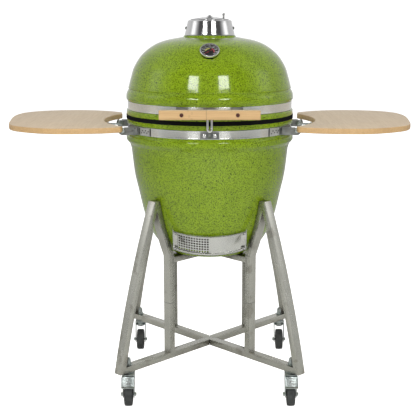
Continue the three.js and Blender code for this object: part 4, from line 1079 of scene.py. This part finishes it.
def build_fork(label):
    """The pressed fork, and the ball race it turns on."""
    body = f"caster_{label}"
    refined(f"fork_{label}", f"caster_fork_{label}", body, ZINC, 0.6)
    x, y, _ = joint_called(f"swivel_{label}")["pos_m"]
    race = rounded([
        (9.4, 87, 1), (13, 87, 2), (16.2, 91, 2), (16.2, 95, 1), (14.6, 96, 0.6), (14.6, 97.6, 0.6),
        (16.2, 98.6, 1), (16.2, 103.4), (9.4, 103.4),
    ], steps=3)
    place = Matrix.Translation((x, y, 0))
    rides(lathe(f"swivel_race_{label}", race, ZINC, 40, True, place), body)


def build_stem(label, angle):
    """The threaded stem with its washer below the bottom bar, and its hexagon and cap nut above."""
    place = turned(angle, "Z") @ shifted(STEM_REACH, 0, 0) @ turned(-angle, "Z")
    profile = rounded([
        (0, 97), (8, 97, 1), (9, 99, 1), (9, 102.6), (6, 102.6), (6, 107.9), (17, 107.9, 1), (17, 110.6, 1),
        (6, 110.6), (6, 132), (10.4, 131.4), (10.6, 132.2), (7.4, 133), (7.4, 147, 1), (6.6, 152, 2),
        (3.6, 156, 2), (0, 157),
    ], closed=False)
    stem = lathe(f"stem_{label}", profile, ZINC, 36, False, place)
    rides(stem, "stand", f"caster_stem_{label}")
    nut = prism(f"stem_nut_{label}", circle_points(9, 6), 132.3, 139.3, ZINC, 0.7, place)
    rides(nut, "stand")


def build_pedal(label):
    """The brake pedal, with three pressed ribs across its sloping plate."""
    body = f"pedal_{label}"
    refined(body, f"brake_pedal_{label}", body, ZINC, 0.6)
    x, y, z = [value / MM for value in joint_called(f"brake_{label}")["pos_m"]]
    ribs = []
    for forward, height, half in ((14.4, 3, 9), (17.6, -4.5, 6), (20.8, -12, 10)):
        path = [(x - half, y - forward, z + height), (x + half, y - forward, z + height)]
        ribs.append(tube("rib", path, 1.5, BRIGHT, 10))
    rides(joined(f"pedal_ribs_{label}", ribs), body)


# ---- shelves


def shelf_outline():
    """The right-hand board: x outward from the pot, y to the rear, notched around the pot."""
    notch = 345
    front, rear = 184, 201
    edge = spline([
        (298, -203), (350, -222), (430, -227), (520, -214), (600, -157), (641, -87), (650, 40), (648, 175),
        (625, 268), (570, 326), (490, 349), (400, 340), (330, 302), (292, 262),
    ], 6)
    start, end = math.asin(rear / notch), -math.asin(front / notch)
    steps = 28
    angles = [start + (end - start) * i / steps for i in range(steps + 1)]
    arc = [(notch * math.cos(angle), notch * math.sin(angle)) for angle in angles]
    inner_x = arc[0][0]
    return [
        *edge, (inner_x + 2, 250), (inner_x, 245), (inner_x, rear + 6), (inner_x + 1.2, rear + 1.5), *arc[1:],
    ]


def build_shelves():
    """Each board with its two arms, and the band brackets that carry them."""
    toe_out, edge_round = 7, 3.5
    for side, label in SIDES:
        body = f"shelf_{label}"
        low, high = node_mm(f"shelf_board_{label}")
        outline = [(side * x, y) for x, y in shelf_outline()]
        turn = turned(-toe_out * side, "Z")
        board = prism(f"board_{label}", outline, low.z, high.z, BAMBOO_Y, edge_round, turn, 4, 50)
        rides(board, body, f"shelf_board_{label}")
        for end in ("front", "rear"):
            where = f"{label}_{end}"
            refined(f"shelf_mount_{where}", f"shelf_bracket_{where}", "stand", BRACKET, 0.5)
            refined(f"shelf_strut_{where}", f"shelf_arm_{where}", body, ZINC, 0.4)


# ---- studio


def build_studio():
    """A pale floor, two softboxes that show in the glaze, and two lights that do not."""
    g = Finish("studio_floor")
    g.colour(g.ramp(g.noise(2, 2), (0.3, (0.9, 0.9, 0.89)), (0.7, (0.94, 0.94, 0.93))))
    g.set(Roughness=0.8, Emission_Color=(1, 1, 1, 1))
    ray = g.add("ShaderNodeLightPath")
    g.link(g.math("MULTIPLY", ray.outputs["Is Camera Ray"], 0.95), g.shader.inputs["Emission Strength"])
    floor_half = 9000
    floor = prism("floor", rectangle(-floor_half, -floor_half, floor_half, floor_half), -20, -0.5, g.material)
    build_world()
    for side, label in SIDES:
        add_light(f"softbox_{label}", (side * 1.15 - 0.09, -2.9, 2.5), (0, 0, 0.95), 0.8, 0.43, 17)
    for name, place, size, power in (("fill", (0, -3.2, 2.0), 2.4, 40), ("overhead", (0, 0.3, 3.6), 3.0, 16)):
        add_light(name, place, (0, 0, 0.8), size, size, power).visible_glossy = False


def build_world():
    """A studio whose walls are dark in front of the grill, and bright at its sides and behind it.

    A soft round glow high on each side gives the dome its two faint highlights.
    """
    world = bpy.data.worlds.new("studio")
    bpy.context.scene.world = world
    world.use_nodes = True
    g = Graph(world.node_tree)
    g.tree.nodes.clear()
    x, y, z = g.split(g.add("ShaderNodeTexCoord").outputs["Generated"])
    level = g.math("SQRT", g.math("ADD", g.math("MULTIPLY", x, x), g.math("MULTIPLY", y, y)))
    frontness = g.math("MULTIPLY_ADD", g.math("DIVIDE", y, level), -0.5, 0.5)
    wall = g.ramp(frontness, (0.0, 1.0), (0.36, 0.8), (0.66, 0.8), (0.79, 0.12), (1.0, 0.08))
    skirting = g.ramp(z, (0.0, 0.6), (0.1, 0.55), (0.24, 0.0))
    ceiling = g.ramp(z, (0.74, 0.0), (0.94, 1.0))
    room = g.mix(ceiling, g.mix(1.0, wall, skirting, "LIGHTEN"), (0.3, 0.3, 0.3))
    walls = g.add("ShaderNodeBackground", Strength=0.7)
    g.link(room, walls.inputs[0])

    towards = 0.0
    for source, share in ((g.math("ABSOLUTE", x), 0.92), (y, -0.037), (z, 0.387)):
        towards = g.math("MULTIPLY_ADD", source, share, towards)
    glow = g.ramp(towards, (0.955, 0.0), (0.975, 0.25), (0.992, 0.8), (1.0, 1.0))
    halo = g.add("ShaderNodeBackground")
    g.link(g.math("MULTIPLY", glow, 1.2), halo.inputs["Strength"])
    lit = g.add("ShaderNodeAddShader")
    g.link(halo.outputs[0], lit.inputs[0])
    g.link(walls.outputs[0], lit.inputs[1])
    backdrop = g.add("ShaderNodeBackground", Color=(1, 1, 1, 1), Strength=1.1)
    pick = g.add("ShaderNodeMixShader")
    g.link(g.add("ShaderNodeLightPath").outputs["Is Camera Ray"], pick.inputs[0])
    g.link(lit.outputs[0], pick.inputs[1])
    g.link(backdrop.outputs[0], pick.inputs[2])
    g.link(pick.outputs[0], g.add("ShaderNodeOutputWorld").inputs[0])


def add_light(name, place, target, width, height, power):
    data = bpy.data.lights.new(name, "AREA")
    data.shape = "RECTANGLE"
    data.size, data.size_y = width, height
    data.energy = power
    light = placed(name, data)
    light.location = place
    light.rotation_euler = (Vector(target) - Vector(place)).to_track_quat("-Z", "Y").to_euler()
    return light


def build_camera():
    """A long lens a little above the shelves, about three metres in front."""
    data = bpy.data.cameras.new("camera")
    data.sensor_width = 36
    data.lens = 78.95
    camera = placed("camera", data)
    camera.location = (0.001, -3.037, 1.2146)
    camera.rotation_euler = (math.radians(78.23), 0, 0)
    bpy.context.scene.camera = camera
    bpy.context.scene.view_settings.view_transform = "Standard"


build_pot()
build_dome()
build_gaskets()
build_bands()
build_band_clips()
build_internals()
build_vent()
build_thermometer()
build_draft()
build_handle()
build_latch()
build_hinge()
build_cart()
build_casters()
build_shelves()
build_studio()
build_camera()
